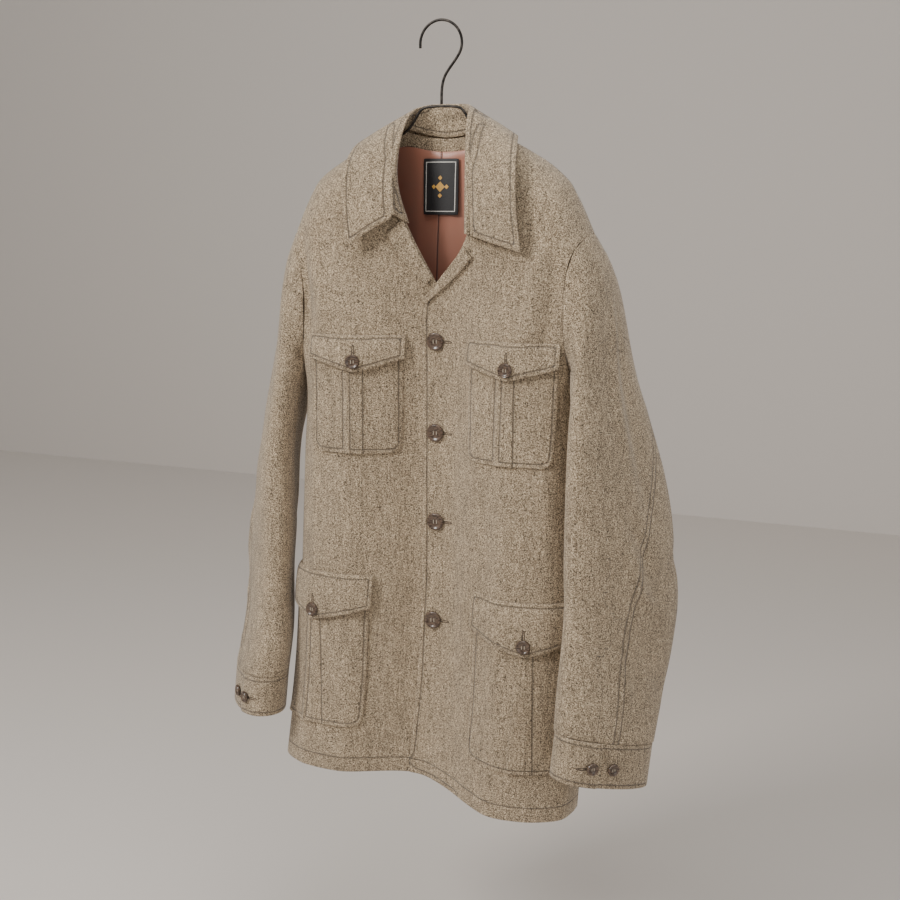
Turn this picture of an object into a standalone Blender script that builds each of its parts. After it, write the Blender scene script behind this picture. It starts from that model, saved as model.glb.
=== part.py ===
"""Safari jacket hanging on a plain wire hanger. Metres, +Z up, the front faces -Y.

The origin is the inside top of the hook. The wearer's left is +X.
Cloth is a wall between an outer skin and an inner one. The torso is one
surface, and pockets, flaps and buttons are taken from it and moved out.
"""
import math

import bmesh
import bpy
import numpy as np

CLOTH = 0.0020
LINING = 0.0010
GAP = 0.0003

UNDERARM = -0.430
LAP = 0.018
LAP_FADE = 0.030
NECK_CLEAR = 0.0012

# Level sections of the torso.
TORSO_COLUMNS = ("height", "half_width", "side_y", "front_hollow_y", "front_y", "back_y",
                 "back_hollow_y", "sway")
TORSO = (
    (-0.930, 0.200, 0.020, -0.010, -0.054, 0.086, 0.070, -0.020),
    (-0.800, 0.195, 0.018, -0.010, -0.056, 0.082, 0.062, -0.006),
    (-0.650, 0.190, 0.015, -0.010, -0.058, 0.076, 0.050, 0.001),
    (-0.520, 0.184, 0.012, -0.012, -0.058, 0.070, 0.038, 0.001),
    (-0.430, 0.180, 0.010, -0.014, -0.057, 0.064, 0.030, 0.002),
    (-0.330, 0.200, 0.008, -0.020, -0.054, 0.056, 0.020, 0.003),
    (-0.240, 0.218, 0.006, -0.034, -0.050, 0.047, 0.015, 0.001),
    (-0.120, 0.230, 0.002, -0.036, -0.042, 0.036, 0.020, 0.000),
)
HOLLOW_REACH = 0.115
FRONT_CORNER = 4.0
BACK_CORNER = 2.8
LEFT_DROP = 0.024

# The shoulder seam from the neck to the top of the armhole, in x and z.
RIDGE = ((0.060, -0.121), (0.090, -0.137), (0.117, -0.151), (0.140, -0.164),
         (0.158, -0.178), (0.168, -0.193), (0.179, -0.217), (0.190, -0.243))
# Free edge and neckline of each front, from the chest up, in x and z.
NECK_EDGE = {
    1: ((-0.018, -0.355), (-0.018, -0.328), (0.016, -0.292), (0.050, -0.256),
        (0.058, -0.205), (0.062, -0.155), (0.060, -0.121)),
    -1: ((-0.018, -0.355), (-0.014, -0.325), (0.010, -0.278), (0.036, -0.220),
         (0.044, -0.190), (0.056, -0.150), (0.060, -0.121)),
}
ARMHOLE_FRONT = ((0.1800, -0.430), (0.1745, -0.400), (0.1690, -0.365), (0.1675, -0.330),
                 (0.1690, -0.300), (0.1740, -0.275), (0.1820, -0.256), (0.190, -0.243))
ARMHOLE_BACK = ((0.1800, -0.430), (0.1760, -0.400), (0.1720, -0.365), (0.1710, -0.330),
                (0.1730, -0.300), (0.1770, -0.275), (0.1840, -0.256), (0.190, -0.243))
BACK_NECK_DEPTH = -0.135
BACK_NECK_SHARE = 0.27
CHEST_LEVEL = -0.355
ROUND_FROM = 0.74

# Half of the collar, from the middle of the back to its front end: the roll
# line, then the edge of the leaf.
COLLAR_COLUMNS = ("roll_x", "roll_y", "roll_z", "edge_x", "edge_y", "edge_z")
COLLAR = {
    1: ((0.000, 0.023, -0.093, 0.000, 0.044, -0.149),
        (0.018, 0.021, -0.0935, 0.046, 0.042, -0.146),
        (0.031, 0.009, -0.097, 0.086, 0.022, -0.132),
        (0.037, -0.010, -0.107, 0.102, -0.014, -0.137),
        (0.043, -0.030, -0.138, 0.114, -0.052, -0.168),
        (0.050, -0.048, -0.188, 0.119, -0.064, -0.214),
        (0.054, -0.058, -0.244, 0.126, -0.066, -0.264)),
    -1: ((0.000, 0.023, -0.093, 0.000, 0.044, -0.149),
         (0.018, 0.021, -0.0935, 0.046, 0.042, -0.146),
         (0.031, 0.009, -0.097, 0.086, 0.022, -0.132),
         (0.037, -0.010, -0.107, 0.102, -0.014, -0.137),
         (0.040, -0.030, -0.138, 0.104, -0.052, -0.168),
         (0.042, -0.048, -0.180, 0.101, -0.063, -0.216),
         (0.038, -0.056, -0.222, 0.096, -0.064, -0.264)),
}
COLLAR_FOLD = 0.0030

# Patch pockets: the inner edge's distance along the cloth from centre front, on
# the wearer's left, 1, and right, -1. Heights are in z.
CHEST = {"inner": {1: 0.056, -1: 0.042}, "width": 0.118, "flap_top": -0.367,
         "flap_side": 0.028, "flap_tip": 0.045, "bottom": -0.512, "pleat": 0.010}
HIP = {"inner": {1: 0.075, -1: 0.084}, "width": 0.145, "flap_top": -0.666,
       "flap_side": 0.042, "flap_tip": 0.062, "bottom": -0.868, "pleat": 0.010}
POCKET_BUTTON = 0.018
FACING_CLEAR = 0.0026
POCKET_CORNER = 0.012
BAG_BELOW_FLAP = 0.011
PLEAT_RISE = 0.0016
FLAP_OVERHANG = 0.003

# Columns of a front, along the cloth from centre front. The pockets share them
# and the rows, so that they lie flat on the facets below them.
PLAIN_COLUMNS = (-0.018, 0.0, 0.018, 0.135, 0.205)
FIXED_COLUMNS = 0.1755
SIDE_COLUMN = 0.250
ROWS = (-0.930, -0.868, -0.856, -0.800, -0.740, -0.677, -0.666, -0.590, -0.512, -0.500,
        -0.455, -0.430, -0.400, -0.378, -0.367, -0.355)
UPPER_SHARES = (0.12, 0.25, 0.38, 0.52, 0.66, 0.77, 0.86, 0.93, 0.98, 1.0)

FRONT_BUTTON = 0.022
FRONT_BUTTON_HEIGHTS = (-0.373, -0.485, -0.596, -0.722)
CUFF_BUTTON = 0.015

# Sleeve sections below the armhole, for the left sleeve.
SLEEVE_COLUMNS = ("height", "out_x", "back_y", "half_long", "half_short", "turn", "tilt")
SLEEVE = (
    (-0.355, 0.1965, 0.004, 0.054, 0.0150, 84.0, 0.074),
    (-0.395, 0.2000, 0.006, 0.059, 0.0170, 80.0, 0.046),
    (-0.445, 0.2040, 0.008, 0.066, 0.0200, 74.0, 0.018),
    (-0.510, 0.2120, 0.012, 0.073, 0.0250, 66.0, 0.000),
    (-0.590, 0.2200, 0.014, 0.079, 0.0290, 60.0, 0.000),
    (-0.650, 0.2250, 0.014, 0.082, 0.0290, 56.0, 0.000),
    (-0.705, 0.2290, 0.013, 0.082, 0.0290, 55.0, 0.000),
    (-0.755, 0.2280, 0.006, 0.079, 0.0300, 55.0, 0.000),
    (-0.800, 0.2270, -0.008, 0.073, 0.0320, 53.0, 0.000),
    (-0.846, 0.2280, -0.020, 0.068, 0.0330, 50.0, 0.000),
)
SLEEVE_SPREAD = {1: 0.010, -1: 0.022}
SLEEVE_DRAWN_IN = {1: 0.000, -1: 0.010}
SLEEVE_AHEAD = {1: 0.018, -1: 0.000}
SLEEVE_LENGTH = {1: 0.928, -1: 0.930}
# The end of the sleeve rises toward the front.
SLEEVE_END_RISE = {1: 0.015, -1: 0.002}
SLEEVE_CLEAR = 0.0032
SLEEVE_POINTS = 24
BACK_SEAM = 10
FRONT_SEAM = 21
CUFF_DEPTH = 0.052
CUFF_CLEAR = 0.0006
CUFF_OVERLAP = 0.030
CUFF_LAP = {1: 4.7, -1: 3.8}

LABEL = (-0.2235, -0.157, -0.0295, 0.0175)

WIRE = 0.0036
HOOK_RADIUS = 0.027

SURFACES = {
    "tweed": ((0.30, 0.255, 0.21, 1), 0.9, 0.0),
    "tweed_collar": ((0.31, 0.265, 0.22, 1), 0.9, 0.0),
    "satin": ((0.20, 0.085, 0.055, 1), 0.4, 0.0),
    "woven_label": ((0.015, 0.014, 0.014, 1), 0.6, 0.0),
    "horn_button": ((0.045, 0.022, 0.014, 1), 0.35, 0.0),
    "dark_metal": ((0.05, 0.045, 0.04, 1), 0.35, 1.0),
}


def clear_scene():
    for old in list(bpy.data.objects):
        bpy.data.objects.remove(old, do_unlink=True)


def material(kind, name):
    colour, roughness, metallic = SURFACES[kind]
    surface = bpy.data.materials.new(name + "_surface")
    surface.use_nodes = True
    shader = surface.node_tree.nodes["Principled BSDF"]
    shader.inputs["Base Color"].default_value = colour
    shader.inputs["Roughness"].default_value = roughness
    shader.inputs["Metallic"].default_value = metallic
    return surface


def smooth(value):
    value = min(max(value, 0.0), 1.0)
    return value * value * (3 - 2 * value)


def through(places, values, place):
    """Value of a smooth curve through the given rows."""
    places = np.asarray(places, float)
    values = np.asarray(values, float)
    if places[0] > places[-1]:
        places, values = places[::-1], values[::-1]
    place = min(max(place, places[0]), places[-1])
    k = int(min(max(np.searchsorted(places, place) - 1, 0), len(places) - 2))
    slopes = np.gradient(values, places, axis=0)
    span = places[k + 1] - places[k]
    t = (place - places[k]) / span
    return ((2 * t**3 - 3 * t**2 + 1) * values[k] + (t**3 - 2 * t**2 + t) * span * slopes[k]
            + (3 * t**2 - 2 * t**3) * values[k + 1] + (t**3 - t**2) * span * slopes[k + 1])


def row_at(table, place):
    rows = np.array(table)
    return through(rows[:, 0], rows, place)


def along(points, share):
    """Point at a share of the length of a broken line."""
    points = np.asarray(points, float)
    steps = np.linalg.norm(np.diff(points, axis=0), axis=1)
    length = np.concatenate([[0.0], np.cumsum(steps)])
    place = share * length[-1]
    return np.array([np.interp(place, length, points[:, k]) for k in range(points.shape[1])])


def plan_points(z, back):
    """Half of the level section from centre front or centre back to the side."""
    _, half, side_y, front_hollow, front_y, back_y, back_hollow, _ = row_at(TORSO, z)
    full, hollow = (back_y, back_hollow) if back else (front_y, front_hollow)
    corner = BACK_CORNER if back else FRONT_CORNER
    turn = np.linspace(0.0, math.pi / 2, 120)
    x = half * np.sin(turn) ** (2 / corner)
    rise = 0.5 + 0.5 * np.cos(np.minimum(x / HOLLOW_REACH, 1) * math.pi)
    face = full + (hollow - full) * rise
    y = side_y - (side_y - face) * np.cos(turn) ** (2 / corner)
    points = np.stack([x, y], axis=1)
    steps = np.linalg.norm(np.diff(points, axis=0), axis=1)
    return np.concatenate([[0.0], np.cumsum(steps)]), points


def torso(s, z, back=False):
    """Outer surface at a distance s along the cloth from the middle, x outward."""
    length, points = plan_points(z, back)
    x = np.interp(abs(s), length, points[:, 0])
    y = np.interp(abs(s), length, points[:, 1])
    return np.array([math.copysign(x, s), y, z])


def edge_length(z, back=False):
    """Distance along the cloth to the side seam or, above it, to the armhole."""
    length, points = plan_points(z, back)
    if z <= UNDERARM:
        return length[-1]
    line = np.array(ARMHOLE_BACK if back else ARMHOLE_FRONT)
    return np.interp(np.interp(z, line[:, 1], line[:, 0]), points[:, 0], length)


def depth_at(x, z, back):
    """How far the level section lies in front of or behind the shoulder seam."""
    _, points = plan_points(z, back)
    return np.interp(abs(x), points[:, 0], points[:, 1])


def armhole_above(level, back):
    line = np.array(ARMHOLE_BACK if back else ARMHOLE_FRONT)
    start = [[np.interp(level, line[:, 1], line[:, 0]), level]]
    return np.concatenate([start, line[line[:, 1] > level + 0.001]])


def upper(foot, u, v, side, back=False):
    """Patch from the chest level, v = 0, to the shoulder seam, v = 1."""
    if back:
        inner = ((0.0, CHEST_LEVEL), (0.0, BACK_NECK_DEPTH))
        if u < BACK_NECK_SHARE:
            share = u / BACK_NECK_SHARE
            top = np.array([RIDGE[0][0] * share, lerp(BACK_NECK_DEPTH, RIDGE[0][1], share**2)])
        else:
            top = along(RIDGE, (u - BACK_NECK_SHARE) / (1 - BACK_NECK_SHARE))
    else:
        inner = NECK_EDGE[side]
        top = along(RIDGE, u)
    outer = armhole_above(CHEST_LEVEL, back)
    left = along(inner, v)
    right = along(outer, v)
    corners = ((1 - u) * (1 - v) * np.array(inner[0]) + u * (1 - v) * outer[0]
               + (1 - u) * v * np.array(inner[-1]) + u * v * outer[-1])
    x, z = (1 - v) * foot[[0, 2]] + v * top + (1 - u) * left + u * right - corners
    flat = max(0.0, (v - ROUND_FROM) / (1 - ROUND_FROM))
    if back:
        flat *= min(1.0, u / BACK_NECK_SHARE)
    return np.array([x, depth_at(x, z, back) * math.sqrt(max(0.0, 1 - flat * flat)), z])


def lerp(a, b, t):
    return a + (b - a) * t


def normals(grid):
    across = np.gradient(grid, axis=0)
    down = np.gradient(grid, axis=1)
    normal = np.cross(across, down)
    return normal / np.maximum(np.linalg.norm(normal, axis=2, keepdims=True), 1e-9)


def sway(grid):
    """The jacket hangs out of line, and lower on the wearer's left."""
    moved = np.array(grid, float)
    x, z = moved[..., 0].copy(), moved[..., 2].copy()
    heights = [row[0] for row in TORSO]
    shifts = [row[-1] for row in TORSO]
    moved[..., 0] += np.interp(z, heights, shifts)
    outward = np.clip((x + 0.02) / 0.15, 0, 1)
    downward = np.clip((-0.55 - z) / 0.35, 0, 1)
    moved[..., 2] -= LEFT_DROP * outward**2 * (3 - 2 * outward) * downward
    return moved


def solid(name, kind, mesh, sharp):
    bmesh.ops.recalc_face_normals(mesh, faces=mesh.faces)
    if mesh.calc_volume(signed=True) < 0:
        bmesh.ops.reverse_faces(mesh, faces=mesh.faces)
    data = bpy.data.meshes.new(name)
    mesh.to_mesh(data)
    mesh.free()
    data.shade_smooth()
    data.set_sharp_from_angle(angle=math.radians(sharp))
    data.materials.append(material(kind, name))
    piece = bpy.data.objects.new(name, data)
    bpy.context.collection.objects.link(piece)


def wall(name, kind, outer, inner):
    """One closed solid between two skins that share their rows and columns."""
    skins = [sway(outer), sway(inner)]
    rows, columns = skins[0].shape[:2]
    mesh = bmesh.new()
    corners = [[[mesh.verts.new(tuple(skin[i, j])) for j in range(columns)]
                for i in range(rows)] for skin in skins]
    for skin in corners:
        for i in range(rows - 1):
            for j in range(columns - 1):
                mesh.faces.new([skin[i][j], skin[i + 1][j], skin[i + 1][j + 1]])
                mesh.faces.new([skin[i][j], skin[i + 1][j + 1], skin[i][j + 1]])
    rim = ([(i, 0) for i in range(rows)] + [(rows - 1, j) for j in range(1, columns)]
           + [(i, columns - 1) for i in range(rows - 2, -1, -1)]
           + [(0, j) for j in range(columns - 2, 0, -1)])
    for k, (i, j) in enumerate(rim):
        m, n = rim[(k + 1) % len(rim)]
        mesh.faces.new([corners[0][m][n], corners[0][i][j], corners[1][i][j]])
        mesh.faces.new([corners[0][m][n], corners[1][i][j], corners[1][m][n]])
    solid(name, kind, mesh, 45)


def facing_out(grid):
    """Normals of a torso grid that point away from the body."""
    facing = normals(grid)
    i, j = grid.shape[0] // 3, grid.shape[1] // 2
    if facing[i, j][1] * (grid[i, j][1] - 0.01) < 0:
        facing = -facing
    return facing


def square_seams(facing, seams):
    """Turn normals on a seam into its own plane, so that both panels meet there."""
    for rows, columns in seams:
        facing[rows, columns, 1] = 0
        facing[rows, columns, 2] += 0.0001
    return facing / np.linalg.norm(facing, axis=2, keepdims=True)


def mirrored(grid, side):
    grid = np.array(grid, float)
    grid[..., 0] *= side
    return grid


def front_lift(x, above=False):
    """How far the left front stands out where it laps over the right one."""
    clear = NECK_CLEAR if above else 0.0001
    return (CLOTH + GAP + clear) * (1 - smooth((x - LAP) / LAP_FADE))


PANELS = {}


def pocket_columns(size, side):
    """Edges of a pocket, and of the box pleat down its middle."""
    inner = size["inner"][side]
    outer = inner + size["width"]
    middle = (inner + outer) / 2
    return inner, middle - size["pleat"], middle, middle + size["pleat"], outer


def front_columns(side):
    columns = list(PLAIN_COLUMNS) + [SIDE_COLUMN]
    for size in (CHEST, HIP):
        columns += pocket_columns(size, side)
    return sorted(columns)


def column_place(column, z):
    """Distance along the cloth of a column of the front at a height."""
    last = edge_length(z) - GAP / 2
    if column <= FIXED_COLUMNS:
        return column
    return lerp(FIXED_COLUMNS, last, (column - FIXED_COLUMNS) / (SIDE_COLUMN - FIXED_COLUMNS))


def front(side):
    name = "front_left" if side > 0 else "front_right"
    columns = front_columns(side)
    grid = [[torso(column_place(column, z), z) for column in columns] for z in ROWS]
    foot = grid[-1]
    places = np.array([column_place(column, ROWS[-1]) for column in columns])
    shares = (places - places[0]) / (places[-1] - places[0])
    for v in UPPER_SHARES:
        grid.append([upper(spot, u, v, side) for spot, u in zip(foot, shares)])
    grid = np.array(grid)
    grid[-1, :, 1] -= GAP / 2
    below_arm = ROWS.index(UNDERARM) + 1
    facing = square_seams(facing_out(grid), ((-1, slice(None)), (slice(0, below_arm), -1)))
    if side > 0:
        lift = np.array([[front_lift(p[0], i >= len(ROWS)) for p in row]
                         for i, row in enumerate(grid)])
        grid = grid + facing * lift[..., None]
    PANELS[side] = (grid, facing)
    wall(name, "tweed", mirrored(grid, side), mirrored(grid - facing * CLOTH, side))


def back():
    half = np.concatenate([np.linspace(0, BACK_NECK_SHARE, 3),
                           np.linspace(BACK_NECK_SHARE, 1, 7)[1:]])
    rows = []
    for z in ROWS:
        last = edge_length(z, True) - GAP / 2
        rows.append([torso(last * u, z, True) for u in half])
    foot = rows[-1]
    for v in UPPER_SHARES:
        rows.append([upper(spot, u, v, 1, True) for spot, u in zip(foot, half)])
    right = np.array(rows)
    right[-1, :, 1] += GAP / 2
    grid = np.concatenate([mirrored(right[:, :0:-1], -1), right], axis=1)
    below_arm = slice(0, ROWS.index(UNDERARM) + 1)
    neck = len(half) - 1 - 2
    seams = ((below_arm, 0), (below_arm, -1), (-1, slice(0, neck + 1)), (-1, slice(-neck - 1, None)))
    facing = square_seams(facing_out(grid), seams)
    PANELS["back"] = (grid, facing)
    wall("back", "tweed", grid, grid - facing * CLOTH)


def lining():
    """Satin lining of the back, with a box pleat down its middle."""
    grid, facing = PANELS["back"]
    middle = grid.shape[1] // 2
    rows = [1, 3, 5, 7, 9, 10, 11, 12, 13, 15, 17, 19, 21, 23]
    columns = list(range(middle - 6, middle + 7))
    sheet = grid[np.ix_(rows, columns)]
    normal = facing[np.ix_(rows, columns)]
    away = CLOTH + 0.0012
    pleat = np.zeros(sheet.shape[:2])
    pleat[:, len(columns) // 2] = 0.002
    outer = sheet - normal * away
    inner = sheet - normal * (away + LINING + pleat)[..., None]
    wall("lining_back", "satin", outer, inner)


def neck_label():
    low, high, left, right = LABEL
    skins = ([], [])
    for z in np.linspace(low, high, 4):
        line = [[x, depth_at(x, z, True) - CLOTH - 0.0012 - LINING - 0.0030, z]
                for x in np.linspace(left, right, 5)]
        skins[0].append(line)
        skins[1].append([[x, y - 0.0007, z] for x, y, z in line])
    wall("label", "woven_label", skins[0], skins[1])


def panel_spot(side, column, z):
    """Point and normal on the facets of a front panel."""
    columns = front_columns(side)
    j = int(np.clip(np.searchsorted(columns, column) - 1, 0, len(columns) - 2))
    i = int(np.clip(np.searchsorted(ROWS, z) - 1, 0, len(ROWS) - 2))
    across = (column - columns[j]) / (columns[j + 1] - columns[j])
    up = (z - ROWS[i]) / (ROWS[i + 1] - ROWS[i])
    found = []
    for field in PANELS[side]:
        a, b, c, d = field[i, j], field[i + 1, j], field[i + 1, j + 1], field[i, j + 1]
        if up > across:
            found.append(a + (b - a) * up + (c - b) * across)
        else:
            found.append(a + (d - a) * across + (c - d) * up)
    return found[0], found[1] / np.linalg.norm(found[1])


def patch(name, side, rows):
    """Wall on a front panel from rows of column, height, lift and thickness."""
    skins = ([], [])
    for row in rows:
        lines = ([], [])
        for column, z, lift, thick in row:
            here, normal = panel_spot(side, column, z)
            lines[0].append(here + normal * (lift + thick))
            lines[1].append(here + normal * lift)
        skins[0].append(lines[0])
        skins[1].append(lines[1])
    name += "_left" if side > 0 else "_right"
    wall(name, "tweed", mirrored(skins[0], side), mirrored(skins[1], side))


def bag(side, size, name):
    """Patch bag with round lower corners and a raised box pleat."""
    inner, fold, middle, other_fold, outer = pocket_columns(size, side)
    step = 0.0015
    inside = [c for c in front_columns(side) if inner < c < outer]
    columns = sorted([inner, outer, fold - step, other_fold + step] + inside)
    bottom = size["bottom"]
    top = size["flap_top"] - BAG_BELOW_FLAP
    heights = sorted([z for z in ROWS if bottom <= z <= top + 0.0001] + [bottom + 0.004])
    rows = []
    for z in heights:
        up = min((z - bottom) / POCKET_CORNER, 1)
        cut = POCKET_CORNER * (1 - math.sqrt(1 - (1 - up) ** 2))
        row = []
        for column in columns:
            rise = PLEAT_RISE if fold - 0.0001 < column < other_fold + 0.0001 else 0.0
            place = min(max(column, inner + cut), outer - cut)
            row.append((place, z, GAP, CLOTH + rise))
        rows.append(row)
    patch(name + "_pocket", side, rows)


def flap(side, size, name):
    """Pointed flap over the top of a bag, with its button."""
    inner, _, middle, _, outer = pocket_columns(size, side)
    over = GAP + CLOTH + PLEAT_RISE + GAP + 0.0002
    reach_half = (outer - inner) / 2 + FLAP_OVERHANG
    inside = [c for c in front_columns(side) if inner <= c <= outer]
    columns = sorted([middle - reach_half, middle + reach_half] + inside)
    rows = []
    for share in (1.0, 0.66, 0.33, 0.16, 0.0):
        row = []
        for column in columns:
            reach = lerp(size["flap_tip"], size["flap_side"], abs(column - middle) / reach_half)
            drop = reach * share
            row.append((column, size["flap_top"] - drop, lerp(GAP, over, smooth(drop / 0.007)),
                        CLOTH))
        rows.append(row)
    patch(name + "_flap", side, rows)

    z = size["flap_top"] - size["flap_tip"] + POCKET_BUTTON * 0.75
    here, normal = panel_spot(side, middle, z)
    here = here + normal * (over + CLOTH + GAP + 0.0003)
    name_side = "_left" if side > 0 else "_right"
    button(name + "_button" + name_side, mirrored(here, side), mirrored(normal, side),
           POCKET_BUTTON)


def button(name, place, axis, width):
    """Turned button with a rim round a dished middle; its back lies at the place."""
    radius = width / 2
    profile = ((0.0, 0.0012), (0.58, 0.0014), (0.76, 0.0028), (0.94, 0.0024), (1.0, 0.0012),
               (0.92, 0.0))
    place = sway(np.array([place]))[0]
    axis = np.array(axis) / np.linalg.norm(axis)
    across = np.cross(axis, [0, 0, 1.0])
    across /= np.linalg.norm(across)
    up = np.cross(axis, across)
    mesh = bmesh.new()
    sides = 14
    rings = []
    for share, lift in profile[1:]:
        ring = []
        for k in range(sides):
            turn = 2 * math.pi * k / sides
            spot = place + axis * lift + radius * share * (across * math.cos(turn)
                                                           + up * math.sin(turn))
            ring.append(mesh.verts.new(tuple(spot)))
        rings.append(ring)
    middle = mesh.verts.new(tuple(place + axis * profile[0][1]))
    for k in range(sides):
        n = (k + 1) % sides
        mesh.faces.new([middle, rings[0][k], rings[0][n]])
        for low, high in zip(rings, rings[1:]):
            mesh.faces.new([low[k], high[k], high[n], low[n]])
    mesh.faces.new(rings[-1])
    bmesh.ops.triangulate(mesh, faces=mesh.faces)
    solid(name, "horn_button", mesh, 50)


def front_buttons():
    for k, z in enumerate(FRONT_BUTTON_HEIGHTS):
        here, normal = panel_spot(1, 0.0, z)
        here = here + normal * (GAP + 0.0020)
        button("front_button_%d" % (k + 1), here, normal, FRONT_BUTTON)


def collar():
    """Stand, rolled fold and leaf, in one band round the neck."""
    half = {}
    for side in (1, -1):
        rows = np.array(COLLAR[side])
        count = len(rows)
        fine = [through(np.arange(count), rows, k / 2) for k in range(2 * count - 1)]
        half[side] = mirrored_table(np.array(fine), side)
    table = np.concatenate([half[-1][:0:-1], half[1]])
    count = len(half[1])
    grid = []
    for k, row in enumerate(table):
        roll, edge = row[:3], row[3:]
        side = -1 if k < count - 1 else 1
        share = abs(k - (count - 1)) / (count - 1)
        seam = neck_seam(share, side)
        stand = roll - seam
        tall = np.linalg.norm(stand)
        stand /= tall
        away = edge - roll
        away -= stand * np.dot(away, stand)
        away /= np.linalg.norm(away)
        first = roll - stand * COLLAR_FOLD
        centre = first + away * COLLAR_FOLD
        line = [lerp(seam, first, t) for t in (0.0, 0.5, 1.0)]
        for turn in (45, 90, 135):
            line.append(centre + COLLAR_FOLD * (stand * math.sin(math.radians(turn))
                                                - away * math.cos(math.radians(turn))))
        start = centre + away * COLLAR_FOLD
        bulge = 0.0035
        for t in (0.0, 0.25, 0.5, 0.75, 1.0):
            spot = lerp(start, edge, t) + stand * bulge * math.sin(math.pi * t)
            line.append(spot)
        grid.append(line)
    grid = np.array(grid)
    facing = normals(grid)
    if facing[len(grid) // 2, -1][1] < 0:
        facing = -facing
    wall("collar", "tweed_collar", grid + facing * CLOTH / 2, grid - facing * CLOTH / 2)


def mirrored_table(rows, side):
    rows = np.array(rows)
    rows[:, 0] *= side
    rows[:, 3] *= side
    return rows


def neck_seam(share, side):
    """Lower edge of the stand, just above the edge of the back, then of the front."""
    turn = 1 / 3
    if share <= turn:
        grid, _ = PANELS["back"]
        middle = grid.shape[1] // 2
        line = grid[-1, middle:middle + 3]
        spot = along(line, share / turn)
    else:
        grid, _ = PANELS[side]
        first = len(ROWS) + 2
        spot = along(grid[:first:-1, 0], (share - turn) / (1 - turn))
    return spot * [side, 1, 1] + np.array([-0.0030 * side * min(share * 6, 1), 0.0, 0.0022])


def facing_strip(side):
    """Front facing that the lapel turns out, along the edge below the collar."""
    name = "facing_left" if side > 0 else "facing_right"
    edge = NECK_EDGE[side]
    line = edge[1:4]
    widest = {1: 0.015, -1: 0.026}[side]
    skins = ([], [])
    for t in np.linspace({1: 0.06, -1: 0.27}[side], 0.93, 7):
        x, z = along(line, t)
        width = lerp(0.006, widest, smooth(t * 1.3))
        lines = ([], [])
        for w in np.linspace(0, 1, 4):
            px = x + width * w * 0.72
            pz = z - width * w * 0.69
            lift = (front_lift(px, True) if side > 0 else 0) + GAP + FACING_CLEAR
            y = depth_at(px, pz, False) - lift
            lines[0].append([px, y - 0.0016, pz])
            lines[1].append([px, y, pz])
        skins[0].append(lines[0])
        skins[1].append(lines[1])
    wall(name, "tweed_collar", mirrored(skins[0], side), mirrored(skins[1], side))


def armhole_ring(side):
    """Top ring of a sleeve: the armhole, front, top, back and underarm in turn."""
    first = ROWS.index(UNDERARM)
    front_line = PANELS[side][0][first:, -1]
    back_line = PANELS["back"][0][first:, -1]
    ring = []
    for k in range(SLEEVE_POINTS):
        turn = 2 * math.pi * k / SLEEVE_POINTS
        share = 0.5 + 0.5 * math.sin(turn)
        line = front_line if math.cos(turn) > 0 else back_line
        ring.append(along(line, share))
    return np.array(ring)


def sleeve_ring(z, side):
    _, out, back_y, long, short, turn, tilt = row_at(SLEEVE, z)
    below = smooth((-0.36 - z) / 0.2)
    spread = SLEEVE_SPREAD[side] * below - SLEEVE_DRAWN_IN[side] * smooth((-0.68 - z) / 0.15)
    end_rise = SLEEVE_END_RISE[side] * smooth((-0.60 - z) / 0.2)
    ahead = SLEEVE_AHEAD[side] * below
    angle = math.radians(turn)
    ring = []
    for k in range(SLEEVE_POINTS):
        place = 2 * math.pi * k / SLEEVE_POINTS
        run = -math.cos(place) * long
        rise = math.copysign(abs(math.sin(place)) ** 0.8, math.sin(place)) * short
        x = out + spread + run * math.cos(angle) + rise * math.sin(angle)
        y = back_y - ahead + run * math.sin(angle) - rise * math.cos(angle)
        ring.append([x, y, z + tilt * math.sin(place) + end_rise * math.cos(place)])
    return np.array(ring)


def sleeve(side):
    """Upper and under sleeve, from the armhole down to the cuff."""
    scale = SLEEVE_LENGTH[side]
    heights = [row[0] for row in SLEEVE]
    middles = [(a + b) / 2 for a, b in zip(heights[3:], heights[4:])]
    heights = sorted(heights + middles[::2], reverse=True)
    rings = [armhole_ring(side) + [SLEEVE_CLEAR, 0.0, 0.0]]
    rings += [sleeve_ring(z, side) for z in heights]
    rings = np.array(rings)
    rings[..., 2] = np.where(rings[..., 2] < SLEEVE[0][0],
                             SLEEVE[0][0] + (rings[..., 2] - SLEEVE[0][0]) * scale,
                             rings[..., 2])
    wrapped = np.concatenate([rings[:, -1:], rings, rings[:, :2]], axis=1)
    facing = normals(wrapped)[:, 1:-1]
    middle = rings[6].mean(axis=0)
    quarter = SLEEVE_POINTS // 4
    if np.dot(facing[6, quarter], rings[6, quarter] - middle) < 0:
        facing = -facing
    facing[0] = facing[1]
    facing[-1] = ring_normals(rings[-1])
    closed = np.concatenate([rings, rings[:, :1]], axis=1)
    inner = closed - facing * CLOTH
    side_name = "_left" if side > 0 else "_right"
    spans = {"upper_sleeve": (FRONT_SEAM - SLEEVE_POINTS, BACK_SEAM),
             "under_sleeve": (BACK_SEAM, FRONT_SEAM)}
    for name, (first, last) in spans.items():
        picks = [k % SLEEVE_POINTS for k in range(first, last + 1)]
        skins = [closed[:, picks].copy(), inner[:, picks].copy()]
        for here, ahead in ((0, 1), (-1, -2)):
            step = skins[0][:, ahead] - skins[0][:, here]
            seam = np.gradient(skins[0][:, here], axis=0)
            seam /= np.linalg.norm(seam, axis=1, keepdims=True)
            step -= seam * (step * seam).sum(axis=1, keepdims=True)
            step /= np.linalg.norm(step, axis=1, keepdims=True)
            for part in skins:
                part[:, here] += step * GAP
        wall(name + side_name, "tweed", mirrored(skins[0], side), mirrored(skins[1], side))


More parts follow.
